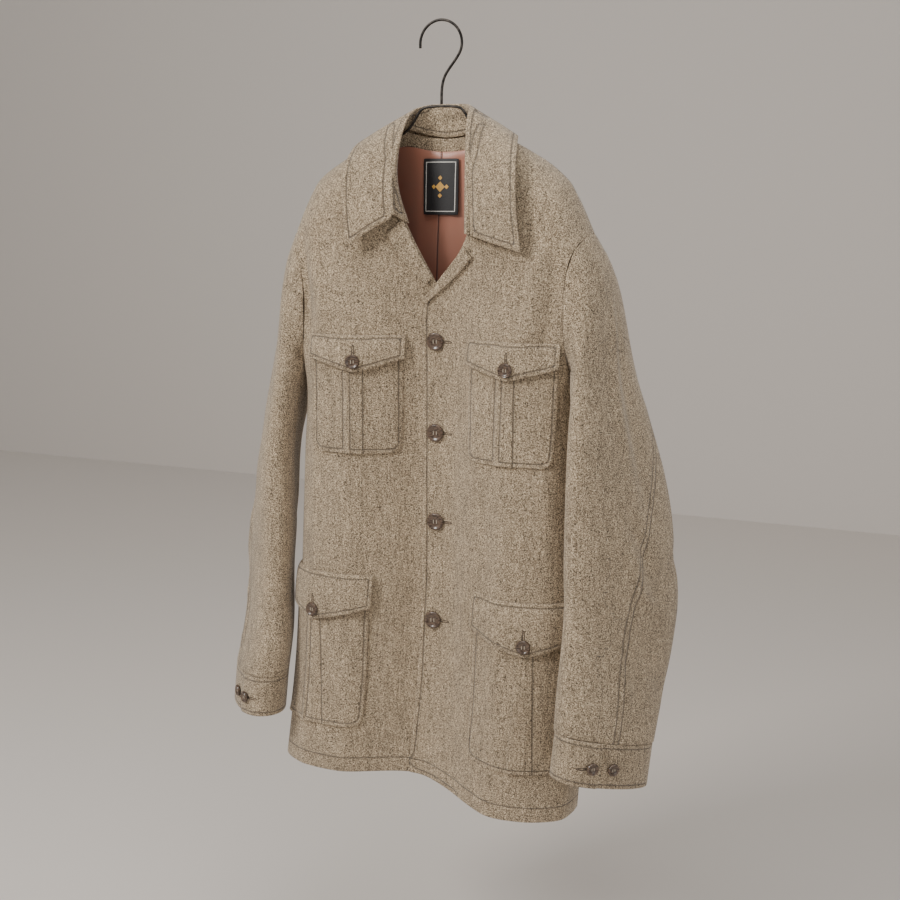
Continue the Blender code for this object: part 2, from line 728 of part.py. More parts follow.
def ring_normals(ring):
    """Level normals of the last sleeve ring, with its first point again at the end."""
    points = np.concatenate([ring[-1:], ring, ring[:2]])
    run = points[2:] - points[:-2]
    normal = np.stack([run[:, 1], -run[:, 0], np.zeros(len(run))], axis=1)
    normal /= np.linalg.norm(normal, axis=1, keepdims=True)
    if np.dot(normal[0], ring[0] - ring.mean(axis=0)) < 0:
        normal = -normal
    return normal


def cuff(side):
    """Cuff band whose front end laps over its back end on the outside."""
    side_name = "_left" if side > 0 else "_right"
    ring = sleeve_ring(SLEEVE[-1][0], side)
    ring[:, 2] -= SLEEVE[-1][0]
    closed = np.concatenate([ring, ring[:1]])
    steps = np.linalg.norm(np.diff(closed, axis=0), axis=1)
    length = np.concatenate([[0.0], np.cumsum(steps)])
    girth = length[-1]
    lap_end = np.interp(CUFF_LAP[side], np.arange(len(length)), length)
    top = SLEEVE[0][0] + (SLEEVE[-1][0] - SLEEVE[0][0]) * SLEEVE_LENGTH[side] - CUFF_CLEAR
    hem = top - CUFF_DEPTH
    centre = ring.mean(axis=0)

    def spot(place, z, lift):
        place = place % girth
        here = np.array([np.interp(place, length, closed[:, k]) for k in range(3)])
        ahead = np.array([np.interp((place + 0.003) % girth, length, closed[:, k])
                          for k in range(3)])
        tangent = ahead - here
        normal = np.array([tangent[1], -tangent[0], 0.0])
        normal /= np.linalg.norm(normal)
        if np.dot(normal, here - centre) < 0:
            normal = -normal
        here[2] = z + here[2] * SLEEVE_LENGTH[side]
        return here + normal * lift, normal

    start = lap_end - girth
    places = np.concatenate([np.linspace(start - CUFF_OVERLAP, start, 4)[:-1],
                             np.linspace(start, lap_end, 22)])
    skins = ([], [])
    for z in np.linspace(hem, top, 4):
        lines = ([], [])
        for place in places:
            over = smooth((place - (lap_end - CUFF_OVERLAP - 0.026)) / 0.022)
            lift = (CLOTH + GAP + 0.0005) * over
            here, normal = spot(place, z, lift)
            lines[0].append(here)
            lines[1].append(here - normal * CLOTH)
        skins[0].append(lines[0])
        skins[1].append(lines[1])
    wall("cuff" + side_name, "tweed", mirrored(skins[0], side), mirrored(skins[1], side))
    z = lerp(hem, top, 0.45)
    for k, (place, over) in enumerate(((lap_end - 0.011, 1), (lap_end + 0.018, 0))):
        lift = (CLOTH + GAP + 0.0005) * over + GAP + 0.0006
        here, normal = spot(place, z, lift)
        button("cuff_button%s_%d" % (side_name, k + 1), mirrored(here, side),
               mirrored(normal, side), CUFF_BUTTON)


def wire(name, points, thickness):
    curve = bpy.data.curves.new(name, "CURVE")
    curve.dimensions = "3D"
    curve.bevel_depth = thickness / 2
    curve.bevel_resolution = 2
    curve.use_fill_caps = True
    line = curve.splines.new("POLY")
    line.points.add(len(points) - 1)
    for point, place in zip(line.points, points):
        point.co = (*place, 1)
    piece = bpy.data.objects.new(name, curve)
    bpy.context.collection.objects.link(piece)
    curve.materials.append(material("dark_metal", name))


def hanger():
    radius = HOOK_RADIUS
    top = WIRE / 2
    centre = (-0.001, top - radius)
    arch = []
    for degrees in range(190, -21, -15):
        turn = math.radians(degrees)
        arch.append((centre[0] + radius * math.cos(turn), 0.0,
                     centre[1] + radius * math.sin(turn)))
    stem = ((0.0185, 0.0, -0.0435), (0.0105, 0.0, -0.0530), (0.0045, 0.0, -0.0610),
            (0.0012, 0.0, -0.0700), (0.0, 0.0, -0.0800), (0.0, 0.0, -0.0945))
    wire("hanger_hook", arch + list(stem), WIRE)
    arm = ((0.020, -0.0968), (0.027, -0.1000), (0.034, -0.1110), (0.042, -0.1235),
           (0.055, -0.1310), (0.072, -0.1370), (0.094, -0.1470), (0.117, -0.1590),
           (0.136, -0.1725), (0.149, -0.1850), (0.156, -0.1950))
    right = [(x, 0.0, z) for x, z in arm]
    left = [(-x, 0.0, z) for x, z in reversed(arm)]
    wire("hanger_bar", left + right, WIRE)


def main():
    clear_scene()
    front(1)
    front(-1)
    back()
    lining()
    neck_label()
    collar()
    for side in (1, -1):
        facing_strip(side)
        for size, name in ((CHEST, "chest"), (HIP, "hip")):
            bag(side, size, name)
            flap(side, size, name)
        sleeve(side)
        cuff(side)
    front_buttons()
    hanger()


main()
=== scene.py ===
# %% [markdown]
# # Safari jacket on a hanger
# A heavy salt-and-pepper tweed jacket hangs from a wire hanger. It has a shirt
# collar, four front buttons, four flapped patch pockets and buttoned cuffs.
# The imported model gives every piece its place. Each piece below is a finer copy
# of its solid, with folds, stitching and a woven surface.

import math

import bmesh
import bpy
import numpy as np
from mathutils import Matrix, Vector
from mathutils.bvhtree import BVHTree
from mathutils.kdtree import KDTree


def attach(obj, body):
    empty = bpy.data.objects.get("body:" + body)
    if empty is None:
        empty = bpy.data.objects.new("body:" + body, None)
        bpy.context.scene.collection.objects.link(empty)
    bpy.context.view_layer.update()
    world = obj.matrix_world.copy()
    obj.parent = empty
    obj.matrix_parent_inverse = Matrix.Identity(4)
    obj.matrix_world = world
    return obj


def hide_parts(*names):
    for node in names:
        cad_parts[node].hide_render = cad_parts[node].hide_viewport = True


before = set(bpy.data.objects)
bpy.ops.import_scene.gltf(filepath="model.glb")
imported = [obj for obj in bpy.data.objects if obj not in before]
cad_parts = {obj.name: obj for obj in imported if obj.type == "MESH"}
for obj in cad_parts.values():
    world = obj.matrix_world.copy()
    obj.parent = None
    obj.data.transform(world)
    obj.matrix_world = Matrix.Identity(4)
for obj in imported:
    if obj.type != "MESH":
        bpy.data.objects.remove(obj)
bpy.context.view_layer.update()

# %% [markdown]
# ## Short words for materials
# A finish is a tree of nodes joined by links. Each node could be added and linked
# by hand, but a few short functions leave each finish below as a few plain lines.


# %% Helpers for node groups
def link(tree, source, target):
    tree.links.new(source, target)


def add(tree, kind, **settings):
    node = tree.nodes.new(kind)
    for name, value in settings.items():
        setattr(node, name, value)
    return node


def math_node(tree, operation, first, second=None):
    node = add(tree, "ShaderNodeMath", operation=operation)
    for socket, value in zip(node.inputs, (first, second)):
        if value is None:
            continue
        if isinstance(value, (int, float)):
            socket.default_value = value
        else:
            link(tree, value, socket)
    return node.outputs[0]


def scaled(tree, value, factor):
    return math_node(tree, "MULTIPLY", value, factor)


def ranged(tree, value, low, high, out_low=0.0, out_high=1.0):
    node = add(tree, "ShaderNodeMapRange", interpolation_type="SMOOTHSTEP")
    link(tree, value, node.inputs["Value"])
    for name, number in (("From Min", low), ("From Max", high),
                         ("To Min", out_low), ("To Max", out_high)):
        node.inputs[name].default_value = number
    return node.outputs["Result"]


def noise(tree, vector, scale, detail, stretch=None):
    if stretch:
        mapping = add(tree, "ShaderNodeMapping")
        mapping.inputs["Scale"].default_value = stretch
        link(tree, vector, mapping.inputs["Vector"])
        vector = mapping.outputs["Vector"]
    node = add(tree, "ShaderNodeTexNoise")
    node.inputs["Scale"].default_value = scale
    node.inputs["Detail"].default_value = detail
    link(tree, vector, node.inputs["Vector"])
    return node.outputs["Fac"]


def mixed(tree, factor, first, second, mode="MIX"):
    node = add(tree, "ShaderNodeMix", data_type="RGBA", blend_type=mode)
    for socket, value in ((node.inputs["Factor"], factor), (node.inputs[6], first),
                          (node.inputs[7], second)):
        if isinstance(value, (int, float, tuple)):
            socket.default_value = value
        else:
            link(tree, value, socket)
    return node.outputs[2]


def new_group(name, inputs, outputs):
    """Node group with named sockets: each is (name, kind, default)."""
    tree = bpy.data.node_groups.new(name, "ShaderNodeTree")
    for label, kind, value in inputs:
        socket = tree.interface.new_socket(label, in_out="INPUT", socket_type=kind)
        if value is not None:
            socket.default_value = value
    for label, kind in outputs:
        tree.interface.new_socket(label, in_out="OUTPUT", socket_type=kind)
    return tree, add(tree, "NodeGroupInput").outputs, add(tree, "NodeGroupOutput").inputs


# %% [markdown]
# ## Tweed
# The cloth is woven from mixed light and dark yarns, so close up it is grain a
# yarn wide, with faint upright streaks where one yarn runs on. It could be a
# woven pattern of threads, but the nap hides the threads at this distance. Noise
# of the yarn's size, stretched noise for the streaks and a broad mottle give it.

# %% Tweed and stitching
DARK_YARN = (0.085, 0.059, 0.035, 1)
MID_YARN = (0.285, 0.213, 0.138, 1)
LIGHT_YARN = (0.700, 0.560, 0.382, 1)
GRAIN = 900.0
STREAK = (330.0, 330.0, 34.0)
MOTTLE = 14.0
# Most of a noise lies between these two, and light or dark yarn shows past its own pair.
NOISE_SPAN = (0.3, 0.7)
LIGHT_SPAN = (0.465, 0.60)
DARK_SPAN = (0.50, 0.38)
STREAK_TONE = (0.83, 1.13)
MOTTLE_TONE = (-0.05, 0.05)
STITCH = 0.0034
GROOVE_WIDTH = 0.0014
GROOVE_BED = 0.0002
THREAD_WIDTH = 0.0006


def tweed_group():
    tree, given, result = new_group(
        "tweed", (("Vector", "NodeSocketVector", None), ("Dark", "NodeSocketColor", DARK_YARN),
                  ("Mid", "NodeSocketColor", MID_YARN), ("Light", "NodeSocketColor", LIGHT_YARN)),
        (("Color", "NodeSocketColor"), ("Roughness", "NodeSocketFloat"),
         ("Height", "NodeSocketFloat")))
    vector = given["Vector"]
    grain = noise(tree, vector, GRAIN, 3.0)
    speck = noise(tree, vector, GRAIN * 0.85, 2.0)
    streak = noise(tree, vector, 1.0, 2.0, STREAK)
    mottle = noise(tree, vector, MOTTLE, 3.0)
    colour = mixed(tree, ranged(tree, grain, *LIGHT_SPAN), given["Mid"], given["Light"])
    colour = mixed(tree, ranged(tree, speck, *DARK_SPAN), colour, given["Dark"])
    tone = math_node(tree, "ADD", ranged(tree, streak, *NOISE_SPAN, *STREAK_TONE),
                     ranged(tree, mottle, *NOISE_SPAN, *MOTTLE_TONE))
    shade = add(tree, "ShaderNodeCombineColor")
    for socket in shade.inputs:
        link(tree, tone, socket)
    link(tree, mixed(tree, 1.0, colour, shade.outputs[0], "MULTIPLY"), result["Color"])
    link(tree, ranged(tree, grain, *NOISE_SPAN, 0.86, 0.98), result["Roughness"])
    link(tree, math_node(tree, "ADD", grain, scaled(tree, speck, 0.7)), result["Height"])
    return tree


def stitch_group():
    """Groove and thread of a line of stitches, from the signed distance to the line."""
    tree, given, result = new_group(
        "stitching", (("Distance", "NodeSocketFloat", 1.0), ("Run", "NodeSocketFloat", 0.0)),
        (("Groove", "NodeSocketFloat"), ("Thread", "NodeSocketFloat")))
    away = math_node(tree, "ABSOLUTE", given["Distance"])
    wave = math_node(tree, "SINE", scaled(tree, given["Run"], 2 * math.pi / STITCH))
    link(tree, ranged(tree, away, GROOVE_WIDTH, GROOVE_BED), result["Groove"])
    link(tree, math_node(tree, "MULTIPLY", ranged(tree, away, THREAD_WIDTH, THREAD_WIDTH / 2),
                         ranged(tree, wave, -0.6, 0.2)), result["Thread"])
    return tree


TWEED = tweed_group()
STITCHING = stitch_group()
print("groups", [g.name for g in bpy.data.node_groups])


# %% Cloth materials
def attribute(tree, name):
    return add(tree, "ShaderNodeAttribute", attribute_name=name).outputs["Fac"]


def use_group(tree, group, **links):
    node = add(tree, "ShaderNodeGroup", node_tree=group)
    for name, source in links.items():
        link(tree, source, node.inputs[name])
    return node.outputs


def new_material(name):
    surface = bpy.data.materials.new(name)
    surface.use_nodes = True
    tree = surface.node_tree
    return surface, tree, tree.nodes["Principled BSDF"]


def bumped(tree, shader, height, distance, strength=1.0):
    bump = add(tree, "ShaderNodeBump")
    bump.inputs["Distance"].default_value = distance
    bump.inputs["Strength"].default_value = strength
    link(tree, height, bump.inputs["Height"])
    link(tree, bump.outputs["Normal"], shader.inputs["Normal"])


# Painted shade for the grooves of the stitching: a dark brown mixed into the cloth's colour.
STITCH_GROOVE_PAINTED_SHADE = (0.070, 0.050, 0.031, 1)
SEWN_THREAD = (0.40, 0.33, 0.25, 1)


def tweed_material():
    surface, tree, shader = new_material("tweed_cloth")
    place = add(tree, "ShaderNodeTexCoord").outputs["Object"]
    weave = use_group(tree, TWEED, Vector=place)
    colour, height = weave["Color"], scaled(tree, weave["Height"], 0.35)
    for line in ("stitch_a", "stitch_b"):
        sewn = use_group(tree, STITCHING, Distance=attribute(tree, line),
                         Run=attribute(tree, "run"))
        # Each groove is a dent in the bump and painted shade in the colour; the pale thread lies
        # on it.
        colour = mixed(tree, scaled(tree, sewn["Groove"], 0.75), colour, STITCH_GROOVE_PAINTED_SHADE)
        colour = mixed(tree, scaled(tree, sewn["Thread"], 0.25), colour, SEWN_THREAD)
        height = math_node(tree, "SUBTRACT", height, scaled(tree, sewn["Groove"], 0.9))
        height = math_node(tree, "ADD", height, scaled(tree, sewn["Thread"], 0.35))
    link(tree, colour, shader.inputs["Base Color"])
    link(tree, weave["Roughness"], shader.inputs["Roughness"])
    shader.inputs["Specular IOR Level"].default_value = 0.15
    shader.inputs["Sheen Weight"].default_value = 0.22
    shader.inputs["Sheen Roughness"].default_value = 0.6
    bumped(tree, shader, height, 0.0009)
    return surface


SATIN_BROWN = (0.470, 0.192, 0.128, 1)
SATIN_RED = (0.440, 0.196, 0.134, 1)
# Painted shade along the fold of the lining's pleat.
SATIN_FOLD_PAINTED_SHADE = (0.045, 0.016, 0.010, 1)
SATIN_TWILL = (1400.0, 1400.0, 90.0)
PLEAT_SHADE = 0.0016


def satin_material():
    surface, tree, shader = new_material("satin")
    place = add(tree, "ShaderNodeTexCoord").outputs["Object"]
    twill = noise(tree, place, 1.0, 1.0, SATIN_TWILL)
    cloud = noise(tree, place, 22.0, 2.0)
    colour = mixed(tree, ranged(tree, cloud, *NOISE_SPAN), SATIN_BROWN, SATIN_RED)
    # The pleat's fold is a dent in the bump and a thin line of painted shade in the colour.
    fold = ranged(tree, math_node(tree, "ABSOLUTE", attribute(tree, "stitch_a")),
                  PLEAT_SHADE, GROOVE_BED)
    colour = mixed(tree, scaled(tree, fold, 0.8), colour, SATIN_FOLD_PAINTED_SHADE)
    link(tree, colour, shader.inputs["Base Color"])
    link(tree, ranged(tree, twill, *NOISE_SPAN, 0.30, 0.42), shader.inputs["Roughness"])
    shader.inputs["Sheen Weight"].default_value = 0.15
    shader.inputs["Anisotropic"].default_value = 0.4
    bumped(tree, shader, math_node(tree, "SUBTRACT", scaled(tree, twill, 0.1), fold), 0.0012, 0.8)
    return surface


TWEED_CLOTH = tweed_material()
SATIN = satin_material()
print("materials", TWEED_CLOTH.name, SATIN.name)

# %% [markdown]
# ## Folds
# Heavy tweed hangs nearly flat. Its folds are long and soft: they drop from the
# collar and the pockets, gather by the armholes and cross the sleeves at the
# elbow. A cloth simulation would settle them anywhere. Here each one is a row of
# a table: a line, a width and a depth. A pocket and the front below it are moved
# by the same field, so they stay together.

# %% Fold tables
# Each row: x and height at the top, x and height at the foot, width, depth.
FRONT_FOLDS = (
    (0.060, -0.300, 0.046, -0.900, 0.020, 0.0045),
    (0.105, -0.520, 0.120, -0.930, 0.024, 0.0040),
    (0.030, -0.420, 0.022, -0.950, 0.012, -0.0030),
    (0.145, -0.250, 0.128, -0.380, 0.011, 0.0050),
    (0.160, -0.260, 0.155, -0.400, 0.008, -0.0050),
    (0.165, -0.470, 0.158, -0.640, 0.016, 0.0035),
    (0.085, -0.540, 0.070, -0.660, 0.014, -0.0028),
    (-0.055, -0.300, -0.050, -0.900, 0.018, 0.0035),
    (-0.030, -0.380, -0.026, -0.930, 0.012, -0.0026),
    (-0.150, -0.200, -0.135, -0.370, 0.011, 0.0055),
    (-0.163, -0.230, -0.158, -0.400, 0.008, -0.0050),
    (-0.110, -0.520, -0.120, -0.660, 0.020, 0.0030),
    (-0.080, -0.640, -0.075, -0.930, 0.016, -0.0028),
)
BACK_FOLDS = (
    (0.000, -0.200, 0.004, -0.930, 0.022, -0.0040),
    (0.060, -0.260, 0.075, -0.930, 0.024, 0.0050),
    (-0.065, -0.240, -0.070, -0.930, 0.024, 0.0045),
    (0.120, -0.220, 0.105, -0.560, 0.016, -0.0045),
    (-0.118, -0.220, -0.110, -0.600, 0.016, -0.0045),
    (0.145, -0.250, 0.135, -0.430, 0.012, 0.0050),
    (-0.145, -0.250, -0.138, -0.430, 0.012, 0.0050),
    (0.120, -0.600, 0.130, -0.940, 0.022, 0.0035),
    (-0.125, -0.640, -0.135, -0.940, 0.022, 0.0035),
)
# Round a sleeve, an angle in degrees takes the place of x: 0 faces out, 90 to the
# back and -90 to the front.
SLEEVE_FOLDS = (
    (-20, -0.300, -35, -0.520, 0.014, 0.0040),
    (15, -0.330, 5, -0.600, 0.016, -0.0035),
    (40, -0.400, 60, -0.620, 0.014, 0.0035),
    (-60, -0.560, 20, -0.640, 0.012, -0.0040),
    (-70, -0.600, 40, -0.700, 0.013, 0.0040),
    (70, -0.600, 0, -0.690, 0.011, -0.0035),
    (-40, -0.690, -50, -0.800, 0.012, 0.0030),
    (20, -0.700, 30, -0.800, 0.012, -0.0028),
    (170, -0.420, 190, -0.640, 0.014, 0.0030),
    (210, -0.560, 150, -0.660, 0.012, -0.0035),
)
print("folds", len(FRONT_FOLDS), len(BACK_FOLDS), len(SLEEVE_FOLDS))


# %% Height of the folds
def ease(value):
    value = np.clip(value, 0.0, 1.0)
    return value * value * (3 - 2 * value)


def fold_field(folds, x, z):
    """How far the folds lift the cloth at each x and height."""
    height = np.zeros(len(z))
    for k, (top_x, top, low_x, low, width, depth) in enumerate(folds):
        share = (z - top) / (low - top)
        wander = 0.35 * width * np.sin(share * 5.2 + k * 1.7)
        line = top_x + (low_x - top_x) * share + wander
        uneven = 0.75 + 0.25 * np.sin(share * 7.1 + k * 2.3)
        ends = ease(share / 0.25 + 0.2) * ease((1 - share) / 0.25 + 0.2)
        spread = width * (0.8 + 0.5 * np.clip(share, 0, 1))
        height += depth * uneven * ends * np.exp(-((x - line) / spread) ** 2)
    return height


def crossing_field(folds, angle, z, radius):
    """The same for folds that cross a sleeve, by distance to a slanted line."""
    height = np.zeros(len(z))
    for k, (first, top, last, low, width, depth) in enumerate(folds):
        turn = (angle - first + 180) % 360 - 180
        run = np.array([math.radians(last - first) * radius, low - top])
        length = np.linalg.norm(run)
        run /= length
        place = np.stack([np.radians(turn) * radius, z - top], axis=1)
        share = place @ run / length
        off = place @ np.array([-run[1], run[0]]) + 0.3 * width * np.sin(share * 5 + k)
        ends = ease(share / 0.3 + 0.15) * ease((1 - share) / 0.3 + 0.15)
        height += depth * ends * np.exp(-(off / width) ** 2)
    return height


# %% Moves of body and sleeves
# The folds die out toward the side seams, the shoulders and the buttoned edge.
SIDE_SEAM, SIDE_FADE = 0.192, 0.035
SHOULDER_FOOT, SHOULDER_FADE = -0.185, 0.05
SHOULDER_SLOPE, SLOPE_START = 0.35, 0.1
EDGE_STILL, EDGE_FADE = 0.012, 0.03
OPENING_FOOT = -0.33
# Those of a sleeve die out toward the armhole and the cuff.
AXIS_HEIGHTS = np.linspace(-0.80, -0.34, 14)
AXIS_SLICE = 0.03
SLEEVE_RADIUS = 0.055
HEAD_FOOT, HEAD_FADE = -0.29, 0.06
CUFF_TOP, CUFF_FADE = -0.855, 0.05
# Next to the body a sleeve has no room to swell.
BODY_ROOM = 0.0006


def vertex_array(mesh):
    points = np.empty(len(mesh.vertices) * 3)
    mesh.vertices.foreach_get("co", points)
    return points.reshape(-1, 3)


def torso_move(points, back=False):
    """How far each point of a front or the back is carried by the folds."""
    x, z = points[:, 0], points[:, 2]
    height = fold_field(BACK_FOLDS if back else FRONT_FOLDS, x, z)
    side = ease((SIDE_SEAM - np.abs(x)) / SIDE_FADE)
    fall = SHOULDER_SLOPE * np.maximum(np.abs(x) - SLOPE_START, 0)
    shoulder = ease((SHOULDER_FOOT - fall - z) / SHOULDER_FADE)
    if not back:
        centre = ease((np.abs(x) - EDGE_STILL) / EDGE_FADE)
        shoulder = shoulder * np.where(z > OPENING_FOOT, centre, 1.0)
    moved = np.zeros_like(points)
    moved[:, 1] = height * side * shoulder * (1 if back else -1)
    return moved


def sleeve_axis(side):
    """Middle of a sleeve at each of the heights."""
    name = "left" if side > 0 else "right"
    points = np.concatenate([vertex_array(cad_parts[piece + "_sleeve_" + name].data)
                             for piece in ("upper", "under")])
    return np.array([points[np.abs(points[:, 2] - h) < AXIS_SLICE].mean(axis=0)
                     for h in AXIS_HEIGHTS])


AXES = {side: sleeve_axis(side) for side in (1, -1)}


def sleeve_move(points, side):
    away = points[:, :2] - np.stack([np.interp(points[:, 2], AXIS_HEIGHTS, AXES[side][:, k])
                                     for k in (0, 1)], axis=1)
    angle = np.degrees(np.arctan2(away[:, 1], away[:, 0] * side))
    length = np.maximum(np.linalg.norm(away, axis=1), 1e-6)
    height = crossing_field(SLEEVE_FOLDS, angle, points[:, 2], SLEEVE_RADIUS)
    height *= ease((HEAD_FOOT - points[:, 2]) / HEAD_FADE)
    height *= ease((points[:, 2] - CUFF_TOP) / CUFF_FADE)
    inward = away[:, 0] * side < 0
    height = np.where(inward, np.minimum(height, BODY_ROOM), height)
    moved = np.zeros_like(points)
    moved[:, :2] = away / length[:, None] * height[:, None]
    return moved


print("sleeve axes start at", [axis[0].round(3).tolist() for axis in AXES.values()])

# %% [markdown]
# ## Cloth pieces
# Each sewn piece is cut, turned in and pressed, so its edges are a little round
# and its stitching lies a few millimetres inside them. A piece could be drawn
# anew on its solid, but a finer copy of the solid keeps every seam where it is.
# The copy is merged, its triangles are joined to quads and it is subdivided;
# creases hold its edges. Distance from its edges is kept for the stitching.

# %% Cloth copies
FINER_LEVELS = 2
SAME_POINT = 1e-5
FLAT_ANGLE = math.radians(35)
QUAD_ANGLE = math.radians(75)
EDGE_ANGLE = math.radians(58)
EDGE_STEP = 0.0012


def refined(node, hold=0.8, edge_angle=EDGE_ANGLE):
    """Finer copy of a CAD node, and rows of x, y, z and levelness along its edges."""
    mesh = bmesh.new()
    mesh.from_mesh(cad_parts[node].data)
    bmesh.ops.remove_doubles(mesh, verts=mesh.verts, dist=SAME_POINT)
    bmesh.ops.join_triangles(mesh, faces=mesh.faces, angle_face_threshold=FLAT_ANGLE,
                             angle_shape_threshold=QUAD_ANGLE)
    crease = mesh.edges.layers.float.new("crease_edge")
    border = []
    for edge in mesh.edges:
        if len(edge.link_faces) == 2 and edge.calc_face_angle(0) > edge_angle:
            edge[crease] = hold
            a, b = (v.co.copy() for v in edge.verts)
            steps = max(2, int((b - a).length / EDGE_STEP))
            level = abs(a.x - b.x) >= abs(a.z - b.z)
            border += [(*a.lerp(b, k / steps), level) for k in range(steps)]
    data = bpy.data.meshes.new(node + "_cloth")
    mesh.to_mesh(data)
    mesh.free()
    piece = bpy.data.objects.new(node + "_cloth", data)
    bpy.context.collection.objects.link(piece)
    finer = piece.modifiers.new("finer", "SUBSURF")
    finer.levels = finer.render_levels = FINER_LEVELS
    graph = bpy.context.evaluated_depsgraph_get()
    piece.data = bpy.data.meshes.new_from_object(piece.evaluated_get(graph))
    piece.modifiers.clear()
    bpy.data.meshes.remove(data)
    for face in piece.data.polygons:
        face.use_smooth = True
    return piece, np.array(border)


def moved_by(piece, move):
    points = vertex_array(piece.data)
    piece.data.vertices.foreach_set("co", (points + move(points)).ravel())
    piece.data.update()


def finish_piece(piece, nodes, surface):
    piece.data.materials.clear()
    piece.data.materials.append(surface)
    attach(piece, "root")
    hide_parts(*nodes)


def one_skin(piece):
    """Area of one side of a cloth piece."""
    return sum(face.area for face in piece.data.polygons) / 2


# %% [markdown]
# ## Stitching and seams
# Topstitching runs beside the edges: round pockets, flaps and collar, down the
# front, along the hem and beside the seam of each sleeve. Each stitch could be a
# small solid, but there are thousands. So each point of the cloth keeps its
# distance to one or two lines, and the material draws groove and thread there.
# The groove is a dent in the bump and painted shade in the colour.

# %% Distances for the stitching
FAR_OFF = 0.05


def write_values(mesh, name, values):
    field = mesh.attributes.new(name, "FLOAT", "POINT")
    field.data.foreach_set("value", np.asarray(values, dtype=np.float32))


def edge_distance(points, border):
    tree = KDTree(len(border))
    for k, spot in enumerate(border):
        tree.insert(spot[:3], k)
    tree.balance()
    found = [tree.find(p) for p in points]
    return np.array([f[2] for f in found]), np.array([f[1] for f in found])


def stitched(piece, border, lines):
    """Writes the signed distance to up to two stitch lines and the run along them."""
    points = vertex_array(piece.data)
    run = np.zeros(len(points))
    for name, line in zip(("stitch_a", "stitch_b"), list(lines) + [None, None]):
        value = np.full(len(points), FAR_OFF)
        if callable(line):
            value = line(points)
            run = points[:, 2]
        elif line:
            inset, pick = line
            chosen = border[[bool(pick(p)) for p in border]] if pick else border
            if len(chosen):
                distance, index = edge_distance(points, chosen)
                value = distance - inset
                level = level_edge(chosen[index].T)
                run = np.where(level, points[:, 0], points[:, 2])
        write_values(piece.data, name, value)
    write_values(piece.data, "run", run)


# %% Lines of stitching
HEM_TOP = -0.895
FRONT_EDGE_WIDTH = 0.035
FRONT_EDGE_TOP = -0.31
PLEAT_FOLD = 0.0088
SEAM_TOP = -0.37
# Height and y of the topstitched seam down the outside of a sleeve.
SLEEVE_SEAM = ((-0.36, 0.062), (-0.44, 0.056), (-0.50, 0.036), (-0.58, 0.004), (-0.61, -0.010),
               (-0.66, -0.024), (-0.71, -0.034), (-0.77, -0.048), (-0.82, -0.060))
SEAM_CURVE = np.polyfit([row[0] for row in SLEEVE_SEAM], [row[1] for row in SLEEVE_SEAM], 4)
SEAM_BACK = {1: 0.0, -1: 0.014}


def level_edge(row):
    return row[3] > 0.5


def at_hem(row):
    return row[2] < HEM_TOP and level_edge(row)


def front_edge(row):
    return abs(row[0]) < FRONT_EDGE_WIDTH and row[2] < FRONT_EDGE_TOP


def sleeve_seam(inset, side):
    """Signed distance to a line beside that seam."""
    def distance(points):
        middle = np.interp(points[:, 2], AXIS_HEIGHTS, AXES[side][:, 0] * side)
        outside = points[:, 0] * side > middle
        line = np.polyval(SEAM_CURVE, points[:, 2]) + SEAM_BACK[side]
        beside = points[:, 1] - line - inset
        return np.where(outside & (points[:, 2] < SEAM_TOP), beside, FAR_OFF)
    return distance


def pleat_line(node):
    """Signed distance to the folded edge of a pocket's pleat, where the stitch groove paints the
    fold's shadow as a dark line.
    """
    middle = vertex_array(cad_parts[node.replace("pocket", "button")].data).mean(axis=0)[0]

    def distance(points):
        return points[:, 0] - middle - PLEAT_FOLD
    return distance


print("sleeve seam curve", SEAM_CURVE.round(3).tolist())


# %% Moves of the pieces
FLAP_LIFT = 0.0026
FLAP_RISE = 0.03
CHEST_FLAP_TOP = -0.367
HIP_FLAP_TOP = -0.672
BETWEEN_FLAPS = -0.55


def flap_move(points):
    """A flap stands a little off its pocket toward its free edge."""
    moved = torso_move(points)
    top = np.where(points[:, 2] > BETWEEN_FLAPS, CHEST_FLAP_TOP, HIP_FLAP_TOP)
    moved[:, 1] -= FLAP_LIFT * ease((top - points[:, 2]) / FLAP_RISE)
    return moved


def front_move(points):
    return torso_move(points)


def back_move(points):
    return torso_move(points, True)


def left_sleeve_move(points):
    return sleeve_move(points, 1)


def right_sleeve_move(points):
    return sleeve_move(points, -1)


def still(points):
    return np.zeros_like(points)


# %% [markdown]
# ## Sleeve heads
# The top of a sleeve is sewn into the armhole all round. The solids stop short of
# it, so a slit would show. The head could be cut anew, but the copy only needs a
# small pull: the points near its top edge are drawn to the edge of the armhole.

# %% Close the heads
HEAD_REACH = 0.035
HEAD_CATCH = 0.008
HEAD_NEIGHBOURS = 6
SEAM_GAP = 0.0003
ARMHOLE_X = 0.155
ARMHOLE_FOOT, ARMHOLE_TOP = -0.445, -0.20


def armhole_edge(row):
    return abs(row[0]) > ARMHOLE_X and ARMHOLE_FOOT < row[2] < ARMHOLE_TOP


